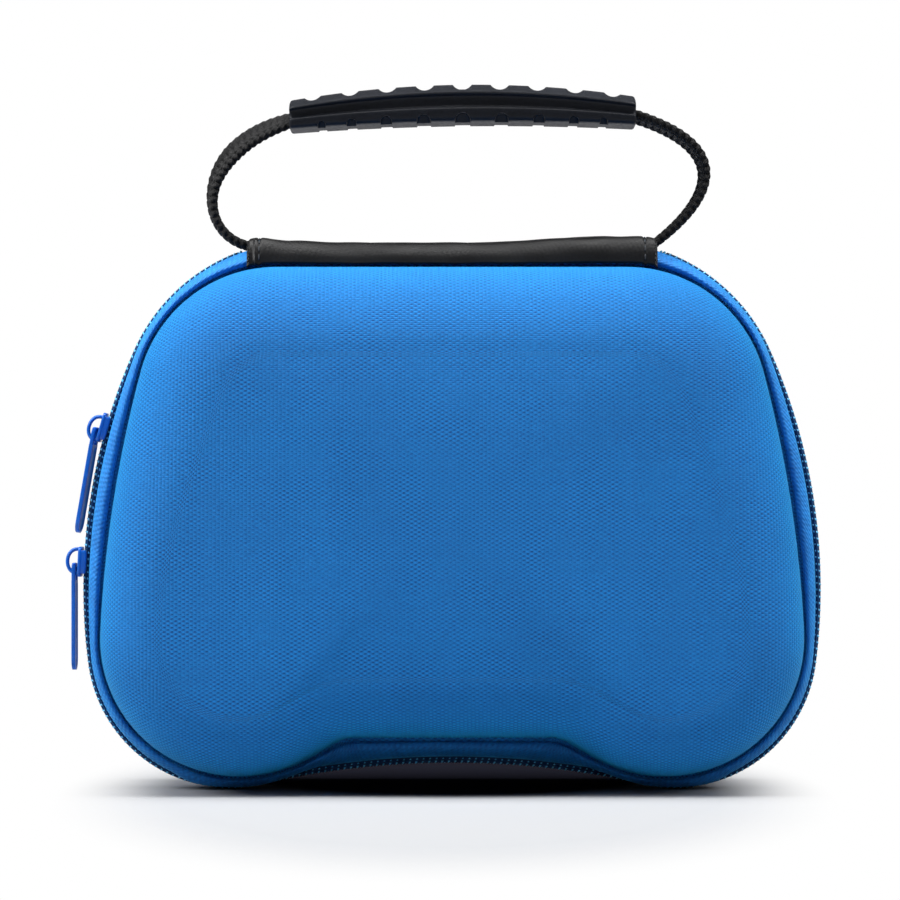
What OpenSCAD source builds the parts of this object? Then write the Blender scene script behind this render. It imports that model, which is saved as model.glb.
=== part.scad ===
// Zipped hard-shell carrying case for a game controller, standing upright on its rim.
// X runs across the case, Y through its depth (the front faces -Y), Z up from the floor.
// Two moulded halves meet at the plane y = 0 and are hinged by a fabric band over the top.

/* [Case outline] */
// Height of the rim's top line above the floor
case_h = 130.5; // [126:0.5:136]
// Half the distance between the two upper corner centres
corner_x = 35.6; // [32:0.2:39]
// Radius of the upper corners at the zip
corner_r = 44; // [41:0.5:47]
// Half the distance between the two lobe centres
lobe_x = 53; // [50:0.5:56]
// Radius of the two lower lobes at the zip
lobe_r = 34; // [32:0.5:36]
// Radius of the long side curves
side_r = 140; // [120:1:170]
// Rise of the rim between the lobes
notch_rise = 5; // [4:0.25:7]

/* [Shells] */
// Depth of each half, from the zip plane to its flat face
half_d = 35; // [31:0.5:42]
// Wall of the moulded shell
wall = 3.2; // [2.4:0.1:4]
// Radius that rolls the side wall into the face
edge_r = 14.5; // [11:0.5:16]
// Rise of the face over its rolled edge
crown = 1.6; // [0.8:0.2:2.4]
// Draft of the side wall, as inset at the roll
draft = 1.2; // [0.4:0.1:2]
// Height of the notch in the dome above the floor
dome_notch_z = 11.2; // [10:0.2:14]
// Slope of the dome's notch sides
dome_notch_slope = 30; // [22:1:36]

/* [Rim and zip] */
// Width of the rolled rim at the top
welt_top = 5.9; // [5:0.1:7]
// Width of the rolled rim under the lobes
welt_foot = 2.4; // [2.2:0.1:3]
// Thickness of the zip tape
tape_t = 0.8; // [0.6:0.05:1]
// Distance from one zip tooth to the next
tooth_pitch = 1.55; // [1.4:0.05:1.9]
// Gap left between pieces that are sewn or seated together
seat_gap = 0.2; // [0.1:0.05:0.3]

/* [Handle] */
// Width of the webbing
strap_w = 8; // [7:0.2:8.2]
// Thickness of the webbing
strap_t = 2; // [1.6:0.1:2.1]
// Length of the rubber grip
grip_len = 82; // [74:1:84]
// Width of the rubber grip
grip_w = 17; // [14:0.5:17.5]
// Height of the grip's crown above the floor
grip_top = 167.4; // [165:0.2:170]

/* [Sliders] */
// Place of the lower slider along the side curve
lower_a = 2.6; // [1:0.1:3.4]
// Place of the upper slider along the side curve
upper_a = 15.8; // [15.2:0.1:17]
// Length of a pull tab from its pin
pull_len = 25; // [20:0.5:26]
// Width of a pull tab
pull_w = 5.4; // [4.6:0.2:6.4]

/* [Inside] */
// Height of the mesh pocket's mouth
pocket_z = 72; // [62:1:80]
// Width of the elastic retaining straps
elastic_w = 25; // [18:1:30]

/* [Hidden] */

fabric_blue = [0.13, 0.40, 0.67];
tape_blue = [0.10, 0.36, 0.66];
coil_blue = [0.12, 0.42, 0.78];
lining_blue = [0.08, 0.22, 0.42];
metal_blue = [0.10, 0.34, 0.66];
band_black = [0.07, 0.07, 0.08];
web_black = [0.04, 0.04, 0.05];
mesh_grey = [0.16, 0.17, 0.19];

// Outline steps
top_n = 3;
bend_n = 2;
corner_n = 8;
side_n = 6;
lobe_n = 10;
sweep_n = 2;
flat_n = 4;
notch_n = sweep_n + 1 + sweep_n + flat_n;
smooth = 96;

// Rim outline, through the outermost points of the zip
corner_c = [corner_x, case_h - corner_r];
lobe_c = [lobe_x, lobe_r];
notch_r = (lobe_x * lobe_x + notch_rise * notch_rise) / (2 * notch_rise) - lobe_r;
notch_c = [0, notch_rise - notch_r];
side_c = far_centre(corner_c, side_r - corner_r, lobe_c, side_r - lobe_r);
half_w = side_c[0] + side_r;

// Dome outline, where the shell rises out of the rolled rim
dome_side_r = 2.07 * side_r;
dome_corner_r = corner_r - 10.3;
dome_corner_c = [corner_x + 5.7, case_h - welt_top - dome_corner_r];
dome_lobe_r = lobe_r - 0.7;
dome_lobe_c = [lobe_x - 2.9, welt_foot + dome_lobe_r];
dome_side_c = far_centre(dome_corner_c, dome_side_r - dome_corner_r, dome_lobe_c, dome_side_r - dome_lobe_r);
dome_foot_a = -98;
dome_sweep_a = -90 - dome_notch_slope;
dome_fillet = 8;
fillet_a = 90 - dome_notch_slope;
fillet_z = dome_notch_z - dome_fillet;
fillet_x = (dome_lobe_c * [cos(fillet_a), sin(fillet_a)] - dome_lobe_r - dome_fillet - fillet_z * sin(fillet_a))
    / cos(fillet_a);
face_c = [0, case_h / 2];

// Hinge band
band_half = 48.5;
band_lift = 3.1;
lift_from = 34;
lift_run = band_half - lift_from;
tape_end_x = band_half - 2;
tape_end_a = acos((tape_end_x - corner_x) / corner_r);
dome_end_a = acos(min(0.98, (tape_end_x - 1 - dome_corner_c[0]) / dome_corner_r));
hinge_z = case_h + 2.5;

// Rim section, as depth from the zip plane
flange_t0 = 4.3;
flange_t1 = 6.2;
lip_t = flange_t1 + 1.3;
lip_lean = draft * (lip_t - flange_t0) / (half_d - crown - edge_r - flange_t0);
flange_in = 0.68;
coil_t = 1.7;
tooth_w = 0.62;
tooth_h = 1;
tooth_head = 0.5;
coil_back = 1.6;
coil_face = 0.15;
coil_end_x = band_half + 3.5;
tape_tuck = 1.5;
press_h = 3;
slot_half = 0.65;

// Slider
plate_half = 3.7;
plate_y = 4.2;
plate_gap = 0.25;
plate_top = 1.15;
inner_plate_y = 2.9;
inner_plate_s = 2.7;
inner_plate_t = 0.8;
post_half = 0.45;
arch_out = 3.3;
arch_in = 2.35;
arch_s = 0.8;
arch_half = 0.75;
arch_z = 0.3;
pin_s = 2.15;
pin_z = 0;
pin_r = 0.5;
eye_len = 3.7;
pull_t = 1;

// The lower slider stands proud of the rim on the left, so the case sits half of that to the right.
centre_shift = (arch_s + arch_out) / 2;

// Handle
grip_x = 2.4;
grip_tilt = 0.7;
crown_rise = 2.4;
grip_top_r = 256;
grip_low_r = 647;
grip_h = 9.3;
strap_mid_drop = 4.65;
strap_slot = 0.3;
strap_arc_r = grip_top_r - strap_mid_drop;
strap_arc_c = [grip_x, grip_top - grip_top_r];
crown_r = (grip_w * grip_w / 4 + crown_rise * crown_rise) / (2 * crown_rise);
grip_edge = 3;
notch_count = 9;
notch_step = 8.9;

// Inside
pocket_t = 0.8;
pocket_d = 7.9;
elastic_t = 1.1;
patch_t = 1;
patch_len = 28;
elastic_z = 62;

// Centre of a circle that lies ra from a and rb from b, on the side towards -X.
function far_centre(a, ra, b, rb) =
    let (d = norm(b - a), u = (b - a) / d, s = (ra * ra - rb * rb + d * d) / (2 * d), h = sqrt(ra * ra - s * s))
    a + u * s + h * [u[1], -u[0]];

function heading(v) = atan2(v[1], v[0]);
function mix(a, b, w) = a + (b - a) * w;
function arc(c, r, a0, a1, n) =
    [for (i = [0:n - 1]) let (a = mix(a0, a1, i / n)) c + r * [cos(a), sin(a)]];
function line(a, b, n) = [for (i = [0:n - 1]) mix(a, b, i / n)];
function ramp(v) = let (c = max(0, min(1, v))) c * c * (3 - 2 * c);

// Right half of the rim, inset by d, from the top centre clockwise to the bottom centre.
function rim_half(d) = concat(
    line([0, case_h - d], [corner_x, case_h - d], top_n),
    arc(corner_c, corner_r - d, 90, tape_end_a, bend_n),
    arc(corner_c, corner_r - d, tape_end_a, heading(corner_c - side_c), corner_n),
    arc(side_c, side_r - d, heading(corner_c - side_c), heading(lobe_c - side_c), side_n),
    arc(lobe_c, lobe_r - d, heading(lobe_c - side_c), heading(notch_c - lobe_c), lobe_n),
    arc(notch_c, notch_r + d, heading(lobe_c - notch_c), 90, notch_n),
    [[0, notch_rise + d]]
);

// Right half of the dome's foot, inset by d, with as many points as the rim.
function dome_half(d) =
    let (lobe_end = dome_lobe_c + (dome_lobe_r - d) * [cos(dome_sweep_a), sin(dome_sweep_a)])
    let (fillet_start = [fillet_x, fillet_z] + (dome_fillet + d) * [cos(fillet_a), sin(fillet_a)])
    concat(
        line([0, case_h - welt_top - d], [dome_corner_c[0], case_h - welt_top - d], top_n),
        arc(dome_corner_c, dome_corner_r - d, 90, dome_end_a, bend_n),
        arc(dome_corner_c, dome_corner_r - d, dome_end_a, heading(dome_corner_c - dome_side_c), corner_n),
        arc(dome_side_c, dome_side_r - d, heading(dome_corner_c - dome_side_c),
            heading(dome_lobe_c - dome_side_c), side_n),
        arc(dome_lobe_c, dome_lobe_r - d, heading(dome_lobe_c - dome_side_c), dome_foot_a, lobe_n),
        arc(dome_lobe_c, dome_lobe_r - d, dome_foot_a, dome_sweep_a, sweep_n),
        line(lobe_end, fillet_start, 1),
        arc([fillet_x, fillet_z], dome_fillet + d, fillet_a, 90, sweep_n),
        line([fillet_x, dome_notch_z + d], [0, dome_notch_z + d], flat_n),
        [[0, dome_notch_z + d]]
    );

function whole(half) = concat(half, [for (i = [len(half) - 2:-1:1]) [-half[i][0], half[i][1]]]);
function rim(d) = whole(rim_half(d));
function dome(d) = whole(dome_half(d));

// Points between the rim (w = 0) and the dome's foot (w = 1).
function welt(w) = let (a = rim(0), b = dome(0)) [for (i = [0:len(a) - 1]) mix(a[i], b[i], w)];
function shrunk(pts, k) = [for (p = pts) face_c + (p - face_c) * k];
function at_depth(pts, t) = [for (p = pts) [p[0], -t, p[1]]];

// Ring of the rolled edge at angle a, for the skin of radius r.
function roll(a, r) =
    at_depth(dome(draft + edge_r - r * cos(a)), half_d - crown - edge_r + r * sin(a));

module loft(rings) {
    n = len(rings[0]);
    m = len(rings);
    sides = [
        for (i = [0:m - 2])
        for (j = [0:n - 1])
        let (a = i * n + j, b = i * n + (j + 1) % n)
        each [[a, b, b + n], [a, b + n, a + n]]
    ];
    caps = [
        [for (j = [n - 1:-1:0]) j],
        [for (j = [0:n - 1]) (m - 1) * n + j]
    ];
    polyhedron(points = [for (r = rings) each r], faces = concat(sides, caps), convexity = 6);
}

// Loft whose first and last loops close on a point in their middle.
module domed_loft(rings) {
    n = len(rings[0]);
    m = len(rings);
    sides = [
        for (i = [0:m - 2])
        for (j = [0:n - 1])
        let (a = i * n + j, b = i * n + (j + 1) % n)
        each [[a, b, b + n], [a, b + n, a + n]]
    ];
    first = [for (j = [0:n - 1]) [m * n, (j + 1) % n, j]];
    last = [for (j = [0:n - 1]) [m * n + 1, (m - 1) * n + j, (m - 1) * n + (j + 1) % n]];
    middles = [for (r = [rings[0], rings[m - 1]]) [face_c[0], r[0][1], face_c[1]]];
    polyhedron(
        points = concat([for (r = rings) each r], middles),
        faces = concat(sides, first, last),
        convexity = 6
    );
}

// Ring of closed section: the first loop follows the last.
module hoop(loops) {
    m = len(loops);
    n = len(loops[0]);
    faces = [
        for (i = [0:m - 1])
        for (j = [0:n - 1])
        let (k = (i + 1) % m, l = (j + 1) % n)
        each [[i * n + j, i * n + l, k * n + l], [i * n + j, k * n + l, k * n + j]]
    ];
    polyhedron(points = [for (r = loops) each r], faces = faces, convexity = 6);
}

module placed() {
    translate([centre_shift, 0, 0])
        children();
}

module rear_side() {
    mirror([0, 1, 0])
        children();
}

// Moulded shell of one half: inner skin, rim flange, groove, side wall, rolled edge and flat face.
module half_shell() {
    inner_r = edge_r - wall;
    domed_loft([
        at_depth(shrunk(dome(draft + edge_r), 0.5), half_d - crown / 2 - wall),
        roll(90, inner_r),
        roll(45, inner_r),
        roll(0, inner_r),
        at_depth(dome(wall), flange_t0),
        at_depth(welt(flange_in), flange_t0),
        at_depth(welt(flange_in), flange_t1 - 0.6),
        at_depth(welt(flange_in + 0.06), flange_t1),
        at_depth(dome(0.15), flange_t1),
        roll(0, edge_r),
        roll(22.5, edge_r),
        roll(45, edge_r),
        roll(67.5, edge_r),
        roll(90, edge_r),
        at_depth(shrunk(dome(draft + edge_r), 0.6), half_d)
    ]);
}

// Folded tape that hides the rough edge of the shell inside the case.
module half_binding() {
    outer_t0 = flange_t0 - seat_gap - tape_t;
    lip_d = wall + seat_gap;
    hoop([
        at_depth(welt(0.9), flange_t0 - seat_gap),
        at_depth(welt(0.9), outer_t0),
        at_depth(dome(lip_d + tape_t), outer_t0),
        at_depth(dome(lip_d + lip_lean + tape_t), lip_t),
        at_depth(dome(lip_d + lip_lean), lip_t),
        at_depth(dome(lip_d), flange_t0 - seat_gap)
    ]);
}

// Lowers the points of an outline where the case stands on its lobes, as its weight presses the soft roll.
function pressed(pts, share) =
    let (edge = rim(0))
    [for (i = [0:len(pts) - 1]) [pts[i][0], pts[i][1] * (1 - share * ramp(1 - edge[i][1] / press_h))]];

// Zip tape: from the coil it rolls out over the shell's flange and down into the groove.
// Beside the coil its ends are tucked down, so that the lid clears the webbing as it opens.
module half_zip_tape() {
    loops = [
        at_depth(rim(coil_back + 0.15), slot_half + 0.05),
        at_depth(rim(coil_back + 0.15), coil_t + 0.2),
        at_depth(rim(tooth_h), coil_t + 0.8),
        at_depth(pressed(welt(0.28), 0.95), 5.2),
        at_depth(pressed(welt(0.55), 0.8), 7.2),
        at_depth(welt(0.93), 8.1),
        at_depth(welt(0.93), 8.1 - tape_t),
        at_depth(welt(0.60), flange_t1 + seat_gap),
        at_depth(welt(0.46), 4.8),
        at_depth(rim(coil_back + 0.9), coil_t + 0.9),
        at_depth(rim(coil_back + 0.9), slot_half + 0.05)
    ];
    tucked = [1, 1, 1, 0, 0, 0, 0, 0, 0, 1, 1];
    first = top_n + bend_n;
    last = len(loops[0]) - first;
    loft([
        for (i = [first:last])
        let (tuck = tape_tuck * max(0, 1 - 0.8 * min(i - first, last - i)))
        [for (j = [0:len(loops) - 1]) loops[j][i] - [0, 0, tuck * tucked[j]]]
    ]);
}

// Place and outward normal of each zip tooth from the band to the bottom centre.
function teeth_on(c, r, a0, a1, sign, phase) =
    let (n = round(abs(a1 - a0) * PI / 180 * r / tooth_pitch))
    [for (i = [0:n - 1]) let (a = mix(a0, a1, (i + phase) / n), u = [cos(a), sin(a)]) [c + r * u, u * sign]];
function teeth_half(phase) = concat(
    teeth_on(corner_c, corner_r, acos((coil_end_x - corner_x) / corner_r), heading(corner_c - side_c), 1, phase),
    teeth_on(side_c, side_r, heading(corner_c - side_c), heading(lobe_c - side_c), 1, phase),
    teeth_on(lobe_c, lobe_r, heading(lobe_c - side_c), heading(notch_c - lobe_c), 1, phase),
    teeth_on(notch_c, notch_r, heading(lobe_c - notch_c), 90, -1, phase)
);
function teeth(phase) =
    let (half = teeth_half(phase), n = len(half))
    concat(
        half,
        phase == 0 ? [[[0, notch_rise], [0, -1]]] : [],
        [for (i = [n - 1:-1:0]) [[-half[i][0][0], half[i][0][1]], [-half[i][1][0], half[i][1][1]]]]
    );
function along(n) = [n[1], -n[0]];

module comb(all, depth) {
    outer = [
        for (f = all)
        let (p = f[0], n = f[1], s = along(f[1]) * tooth_w / 2)
        each [p - s - n * tooth_h, p - s, p + s, p + s - n * tooth_h]
    ];
    inner = [for (i = [len(all) - 1:-1:0]) all[i][0] - all[i][1] * coil_back];
    rotate([90, 0, 0])
        linear_extrude(height = depth)
            polygon(concat(outer, inner));
}

// Strip behind the teeth, wider than the comb's back, for cutting it away from their heads.
module back_strip(all, depth) {
    n = len(all);
    ends = [all[0][0] - along(all[0][1]) * tooth_w, all[n - 1][0] + along(all[n - 1][1]) * tooth_w];
    run = concat([[ends[0], all[0][1]]], all, [[ends[1], all[n - 1][1]]]);
    outer = [for (f = run) f[0] - f[1] * (tooth_h - 0.05)];
    inner = [for (i = [len(run) - 1:-1:0]) run[i][0] - run[i][1] * (coil_back + 1)];
    rotate([90, 0, 0])
        linear_extrude(height = depth)
            polygon(concat(outer, inner));
}

// Slot that the sliders' posts run in, along the left side curve.
module slider_slot() {
    span = [heading(lobe_c - side_c) - 4, heading(corner_c - side_c) + 2];
    mirror([1, 0, 0])
        translate([side_c[0], slot_half, side_c[1]])
            rotate([90, 0, 0])
                linear_extrude(height = 2 * slot_half)
                    polygon(concat(
                        arc([0, 0], side_r + 3, span[0], span[1], side_n),
                        [(side_r + 3) * [cos(span[1]), sin(span[1])]],
                        [(side_r - 5) * [cos(span[1]), sin(span[1])]],
                        [for (i = [side_n - 1:-1:0])
                            let (a = mix(span[0], span[1], i / side_n)) (side_r - 5) * [cos(a), sin(a)]]
                    ));
}

// Zip coil of one half: a comb of teeth whose heads reach past the zip plane between the other half's.
module half_zip_coil(phase) {
    all = teeth(phase);
    difference() {
        translate([0, tooth_head, 0])
            comb(all, tooth_head + coil_t);
        translate([0, tooth_head + 1, 0])
            back_strip(all, tooth_head + 1 + coil_face);
        slider_slot();
    }
}

module rear_shell() {
    color(fabric_blue)
        placed()
            rear_side()
                half_shell();
}

module front_shell() {
    color(fabric_blue)
        placed()
            half_shell();
}

module rear_binding() {
    color(lining_blue)
        placed()
            rear_side()
                half_binding();
}

module front_binding() {
    color(lining_blue)
        placed()
            half_binding();
}

module rear_zip_tape() {
    color(tape_blue)
        placed()
            rear_side()
                half_zip_tape();
}

module front_zip_tape() {
    color(tape_blue)
        placed()
            half_zip_tape();
}

module rear_zip_coil() {
    color(coil_blue)
        placed()
            rear_side()
                half_zip_coil(0);
}

module front_zip_coil() {
    color(coil_blue)
        placed()
            half_zip_coil(0.5);
}

// Height of the rim's edge and of the dome's foot above the floor at x, over the top.
function corner_drop(x, cx, r) = r - sqrt(r * r - pow(max(0, abs(x) - cx), 2));
function top_z(x, w) = mix(
    case_h - corner_drop(x, corner_x, corner_r),
    case_h - welt_top - corner_drop(x, dome_corner_c[0], dome_corner_r),
    w
);
function band_point(x, y, w, share) = [x, y, top_z(x, w) + share * band_lift * ramp((abs(x) - lift_from) / lift_run)];

// Hinge: a rubberised fabric band over the top, sewn to both halves, raised over the strap's ends.
module hinge_band() {
    skin = [[9.1, 0.93, 0.1], [8.6, 0.62, 0.7], [7.4, 0.34, 1], [5.8, 0.16, 1], [2.6, 0.12, 1], [0, 0.11, 1]];
    outer = concat(
        [for (p = skin) [-p[0], p[1], p[2]]],
        [for (i = [len(skin) - 2:-1:0]) skin[i]]
    );
    under = [[8.4, 0.95, 0.1], [7.9, 0.70, 0.7], [6.8, 0.48, 1], [5.5, 0.28, 1], [2.6, 0.25, 1], [0, 0.24, 1]];
    inner = concat(
        under,
        [for (i = [len(under) - 2:-1:0]) [-under[i][0], under[i][1], under[i][2]]]
    );
    half = [0, 12, 24, 33, 37, 41, 44.5, band_half];
    stations = concat([for (i = [len(half) - 1:-1:1]) -half[i]], half);
    color(band_black)
        placed()
            loft([
                for (x = stations)
                [for (p = concat(inner, outer)) band_point(x, p[0], p[1], p[2])]
            ]);
}

// Fabric strip that closes the hinge gap inside the case.
module hinge_liner() {
    liner_half = 40;
    liner_y = flange_t0 - 2 * seat_gap - tape_t;
    color(lining_blue)
        placed()
            translate([-liner_half, -liner_y, top_z(0, 0.9)])
                cube([2 * liner_half, 2 * liner_y, tape_t]);
}

function bezier(p, u) =
    pow(1 - u, 3) * p[0] + 3 * pow(1 - u, 2) * u * p[1] + 3 * (1 - u) * u * u * p[2] + pow(u, 3) * p[3];
function strap_arc(x) = [x, strap_arc_c[1] + (x - grip_x) * sin(grip_tilt)
    + sqrt(strap_arc_r * strap_arc_r - (x - grip_x) * (x - grip_x))];

// Centreline of the webbing, from its left root through the grip to its right root.
left_root = [-47, case_h - 1.7];
right_root = [47, case_h - 1.7];
left_mouth = strap_arc(grip_x - grip_len / 2);
right_mouth = strap_arc(grip_x + grip_len / 2);
left_curve = [left_root, [-60, case_h - 0.1], [-61, left_mouth[1] - 6.5], left_mouth];
right_curve = [right_root, [60, case_h + 0.7], [66, right_mouth[1] - 4.6], right_mouth];
curve_n = 10;
inside_n = 6;
strap_path = concat(
    [[-40, case_h - 2.3]],
    [for (i = [0:curve_n - 1]) bezier(left_curve, i / curve_n)],
    [for (i = [0:inside_n]) strap_arc(grip_x + grip_len * (i / inside_n - 0.5))],
    [for (i = [curve_n - 1:-1:0]) bezier(right_curve, i / curve_n)],
    [[40, case_h - 2.3]]
);

// Handle webbing: one strap from under the band's left end, through the grip, to its right end.
module handle_strap() {
    n = len(strap_path);
    color(web_black)
        placed()
            loft([
                for (i = [0:n - 1])
                let (
                    p = strap_path[i],
                    d = strap_path[min(n - 1, i + 1)] - strap_path[max(0, i - 1)],
                    s = [-d[1], d[0]] / norm(d) * strap_t / 2
                )
                [
                    [p[0] + s[0], -strap_w / 2, p[1] + s[1]],
                    [p[0] + s[0], strap_w / 2, p[1] + s[1]],
                    [p[0] - s[0], strap_w / 2, p[1] - s[1]],
                    [p[0] - s[0], -strap_w / 2, p[1] - s[1]]
                ]
            ]);
}

// Sweeps a section along the grip's arc of radius r, whose top is at the origin.
module swept(r) {
    sweep = 24;
    translate([0, 0, -r])
        rotate([90, 0, 0])
            rotate([0, 0, 90 - sweep / 2])
                rotate_extrude(angle = sweep, $fn = 4 * smooth)
                    children();
}

// Rubber grip: a crowned top, rounded lower edges, a slot for the webbing and rows of notches.
module handle_grip() {
    notch_w = 2.7;
    notch_y = grip_w - 5;
    color(band_black)
        placed()
            translate([grip_x, 0, grip_top])
                rotate([0, -grip_tilt, 0])
                    difference() {
                        intersection() {
                            swept(grip_top_r)
                                intersection() {
                                    translate([grip_top_r - crown_r, 0])
                                        circle(r = crown_r, $fn = smooth);
                                    translate([grip_top_r - 2 * grip_h, -grip_w / 2])
                                        square([2 * grip_h, grip_w]);
                                }
                            translate([0, 0, -grip_h])
                                swept(grip_low_r)
                                    union() {
                                        translate([grip_low_r + grip_edge, -grip_w / 2])
                                            square([2 * grip_h, grip_w]);
                                        translate([grip_low_r, grip_edge - grip_w / 2])
                                            square([2 * grip_h, grip_w - 2 * grip_edge]);
                                        for (side = [-1, 1])
                                            translate([grip_low_r + grip_edge, side * (grip_w / 2 - grip_edge)])
                                                circle(r = grip_edge, $fn = smooth);
                                    }
                            translate([-grip_len / 2, -grip_w, -2 * grip_h])
                                cube([grip_len, 2 * grip_w, 3 * grip_h]);
                        }
                        swept(grip_top_r)
                            translate([strap_arc_r - strap_t / 2 - strap_slot, -strap_w / 2 - strap_slot])
                                square([strap_t + 2 * strap_slot, strap_w + 2 * strap_slot]);
                        for (i = [0:notch_count - 1]) {
                            x = (i - (notch_count - 1) / 2) * notch_step;
                            top_drop = grip_top_r - sqrt(grip_top_r * grip_top_r - x * x);
                            low_drop = grip_low_r - sqrt(grip_low_r * grip_low_r - x * x);
                            shrink = 1 - 0.4 * abs(x) / (grip_len / 2);
                            translate([x, notch_y / 2, notch_w - 1.2 * shrink - top_drop])
                                rotate([90, 0, 0])
                                    cylinder(r = notch_w, h = notch_y, $fn = smooth);
                            translate([x, grip_w, 1.6 * shrink - notch_w - grip_h - low_drop])
                                rotate([90, 0, 0])
                                    cylinder(r = notch_w, h = 2 * grip_w, $fn = smooth);
                        }
                    }
}

// Puts a piece on the left side curve at angle a: its +X then points outwards and its +Z up the zip.
module on_side(a) {
    placed()
        translate([-side_c[0], 0, side_c[1]])
            rotate([0, a, 0])
                translate([-side_r, 0, 0])
                    mirror([1, 0, 0])
                        children();
}

// Slider: two plates round the coils, joined by a post in the slot, and an arch for the pull.
// nose is 1 when the wedge end points up the zip and -1 when it points down.
module slider(nose) {
    plate_round = 1.6;
    translate([plate_gap, 0, 0])
        intersection() {
            translate([0, -plate_y, -plate_half])
                cube([plate_top - plate_gap, 2 * plate_y, 2 * plate_half]);
            rotate([0, 90, 0])
                linear_extrude(height = plate_top)
                    union() {
                        square([2 * (plate_half - plate_round), 2 * plate_y], center = true);
                        square([2 * plate_half, 2 * (plate_y - plate_round)], center = true);
                        for (u = [-1, 1])
                            for (v = [-1, 1])
                                translate([u * (plate_half - plate_round), v * (plate_y - plate_round)])
                                    circle(r = plate_round, $fn = smooth);
                    }
        }
    translate([-inner_plate_s - inner_plate_t, -inner_plate_y, -plate_half + 0.6])
        cube([inner_plate_t, 2 * inner_plate_y, 2 * plate_half - 1.2]);
    translate([-inner_plate_s - 0.1, -post_half, nose * (plate_half - 1.9) - 0.9])
        cube([inner_plate_s + plate_gap + 0.2, 2 * post_half, 1.8]);
    translate([arch_s, 0, arch_z])
        rotate([90, 0, 0])
            difference() {
                cylinder(r = arch_out, h = 2 * arch_half, center = true, $fn = smooth);
                cylinder(r = arch_in, h = 3 * arch_half, center = true, $fn = smooth);
                translate([-2 * arch_out - arch_s + plate_top - 0.1, -2 * arch_out, -2])
                    cube([2 * arch_out, 4 * arch_out, 4]);
            }
}

// Pull tab, hanging from its pin inside the slider's arch; lean swings it in towards the zip.
module pull(lean) {
    eye_y = arch_half + 0.4;
    end_r = pull_w / 2;
    translate([pin_s, 0, pin_z])
        rotate([0, lean, 0]) {
            rotate([90, 0, 0])
                cylinder(r = pin_r, h = pull_w, center = true, $fn = smooth);
            for (side = [-1, 1])
                translate([-pull_t / 2, side * (eye_y + (end_r - eye_y) / 2) - (end_r - eye_y) / 2, -eye_len - 0.2])
                    cube([pull_t, end_r - eye_y, eye_len + 0.2]);
            difference() {
                union() {
                    translate([-pull_t / 2, -end_r, end_r - pull_len])
                        cube([pull_t, pull_w, pull_len - end_r - eye_len]);
                    translate([0, 0, end_r - pull_len])
                        rotate([0, 90, 0])
                            cylinder(r = end_r, h = pull_t, center = true, $fn = smooth);
                }
                translate([0, 0, end_r - pull_len])
                    rotate([0, 90, 0])
                        cylinder(r = 1.1, h = 2 * pull_t, center = true, $fn = smooth);
            }
        }
}

module upper_slider() {
    color(metal_blue)
        on_side(upper_a)
            slider(-1);
}

module lower_slider() {
    color(metal_blue)
        on_side(lower_a)
            slider(1);
}

module upper_pull() {
    color(metal_blue)
        on_side(upper_a)
            pull(6);
}

module lower_pull() {
    color(metal_blue)
        on_side(lower_a)
            pull(lower_a);
}

// Part of the lid's opening below the mouth of the mesh pocket, with a mouth that sags in the middle.
module pocket_outline(inset) {
    sag_r = 420;
    intersection() {
        polygon(dome(wall + inset));
        difference() {
            translate([-half_w, 0])
                square([2 * half_w, pocket_z]);
            translate([0, pocket_z + sag_r - 5])
                circle(r = sag_r, $fn = 4 * smooth);
        }
    }
}

// Mesh pocket sewn across the lower part of the lid.
module mesh_pocket() {
    color(mesh_grey)
        placed()
            translate([0, -pocket_d, 0])
                rotate([90, 0, 0])
                    linear_extrude(height = pocket_t)
                        pocket_outline(2 * seat_gap);
}

// Elastic hem along the pocket's mouth.
module pocket_hem() {
    sag_r = 420;
    hem = 4;
    color(web_black)
        placed()
            translate([0, -pocket_d + pocket_t + seat_gap, 0])
                rotate([90, 0, 0])
                    linear_extrude(height = pocket_t)
                        intersection() {
                            polygon(dome(wall + lip_lean + tape_t + 3 * seat_gap));
                            translate([0, pocket_z + sag_r - 5])
                                difference() {
                                    circle(r = sag_r + hem, $fn = 4 * smooth);
                                    circle(r = sag_r, $fn = 4 * smooth);
                                }
                            translate([-half_w, 0])
                                square([2 * half_w, pocket_z]);
                        }
}

// Half-width of the opening at the elastic straps' height, less the binding.
function opening_half(z) =
    dome_side_c[0] + sqrt(dome_side_r * dome_side_r - pow(z - dome_side_c[1], 2))
        - wall - lip_lean - tape_t - 3 * seat_gap;
elastic_reach = min(opening_half(elastic_z - elastic_w / 2), opening_half(elastic_z + elastic_w / 2));
left_y = flange_t1 + 2.4;

// Two elastic straps across the rear half, closed by a hook and a loop patch in the middle.
module left_elastic() {
    color(web_black)
        placed()
            translate([-elastic_reach, left_y, elastic_z - elastic_w / 2])
                cube([elastic_reach + patch_len / 2, elastic_t, elastic_w]);
}

module loop_patch() {
    color(web_black)
        placed()
            translate([-patch_len / 2, left_y - seat_gap - patch_t, elastic_z - elastic_w / 2 + 1])
                cube([patch_len, patch_t, elastic_w - 2]);
}

module hook_patch() {
    color(web_black)
        placed()
            translate([-patch_len / 2, left_y - 2 * (seat_gap + patch_t), elastic_z - elastic_w / 2 + 1])
                cube([patch_len, patch_t, elastic_w - 2]);
}

module right_elastic() {
    color(web_black)
        placed()
            translate([-patch_len / 2, left_y - 3 * seat_gap - 2 * patch_t - elastic_t, elastic_z - elastic_w / 2])
                cube([elastic_reach + patch_len / 2, elastic_t, elastic_w]);
}

rear_shell();
rear_binding();
rear_zip_tape();
rear_zip_coil();
front_shell();
front_binding();
front_zip_tape();
front_zip_coil();
hinge_band();
hinge_liner();
handle_strap();
handle_grip();
upper_slider();
upper_pull();
lower_slider();
lower_pull();
mesh_pocket();
pocket_hem();
left_elastic();
right_elastic();
loop_patch();
hook_patch();
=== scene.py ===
import math

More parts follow.
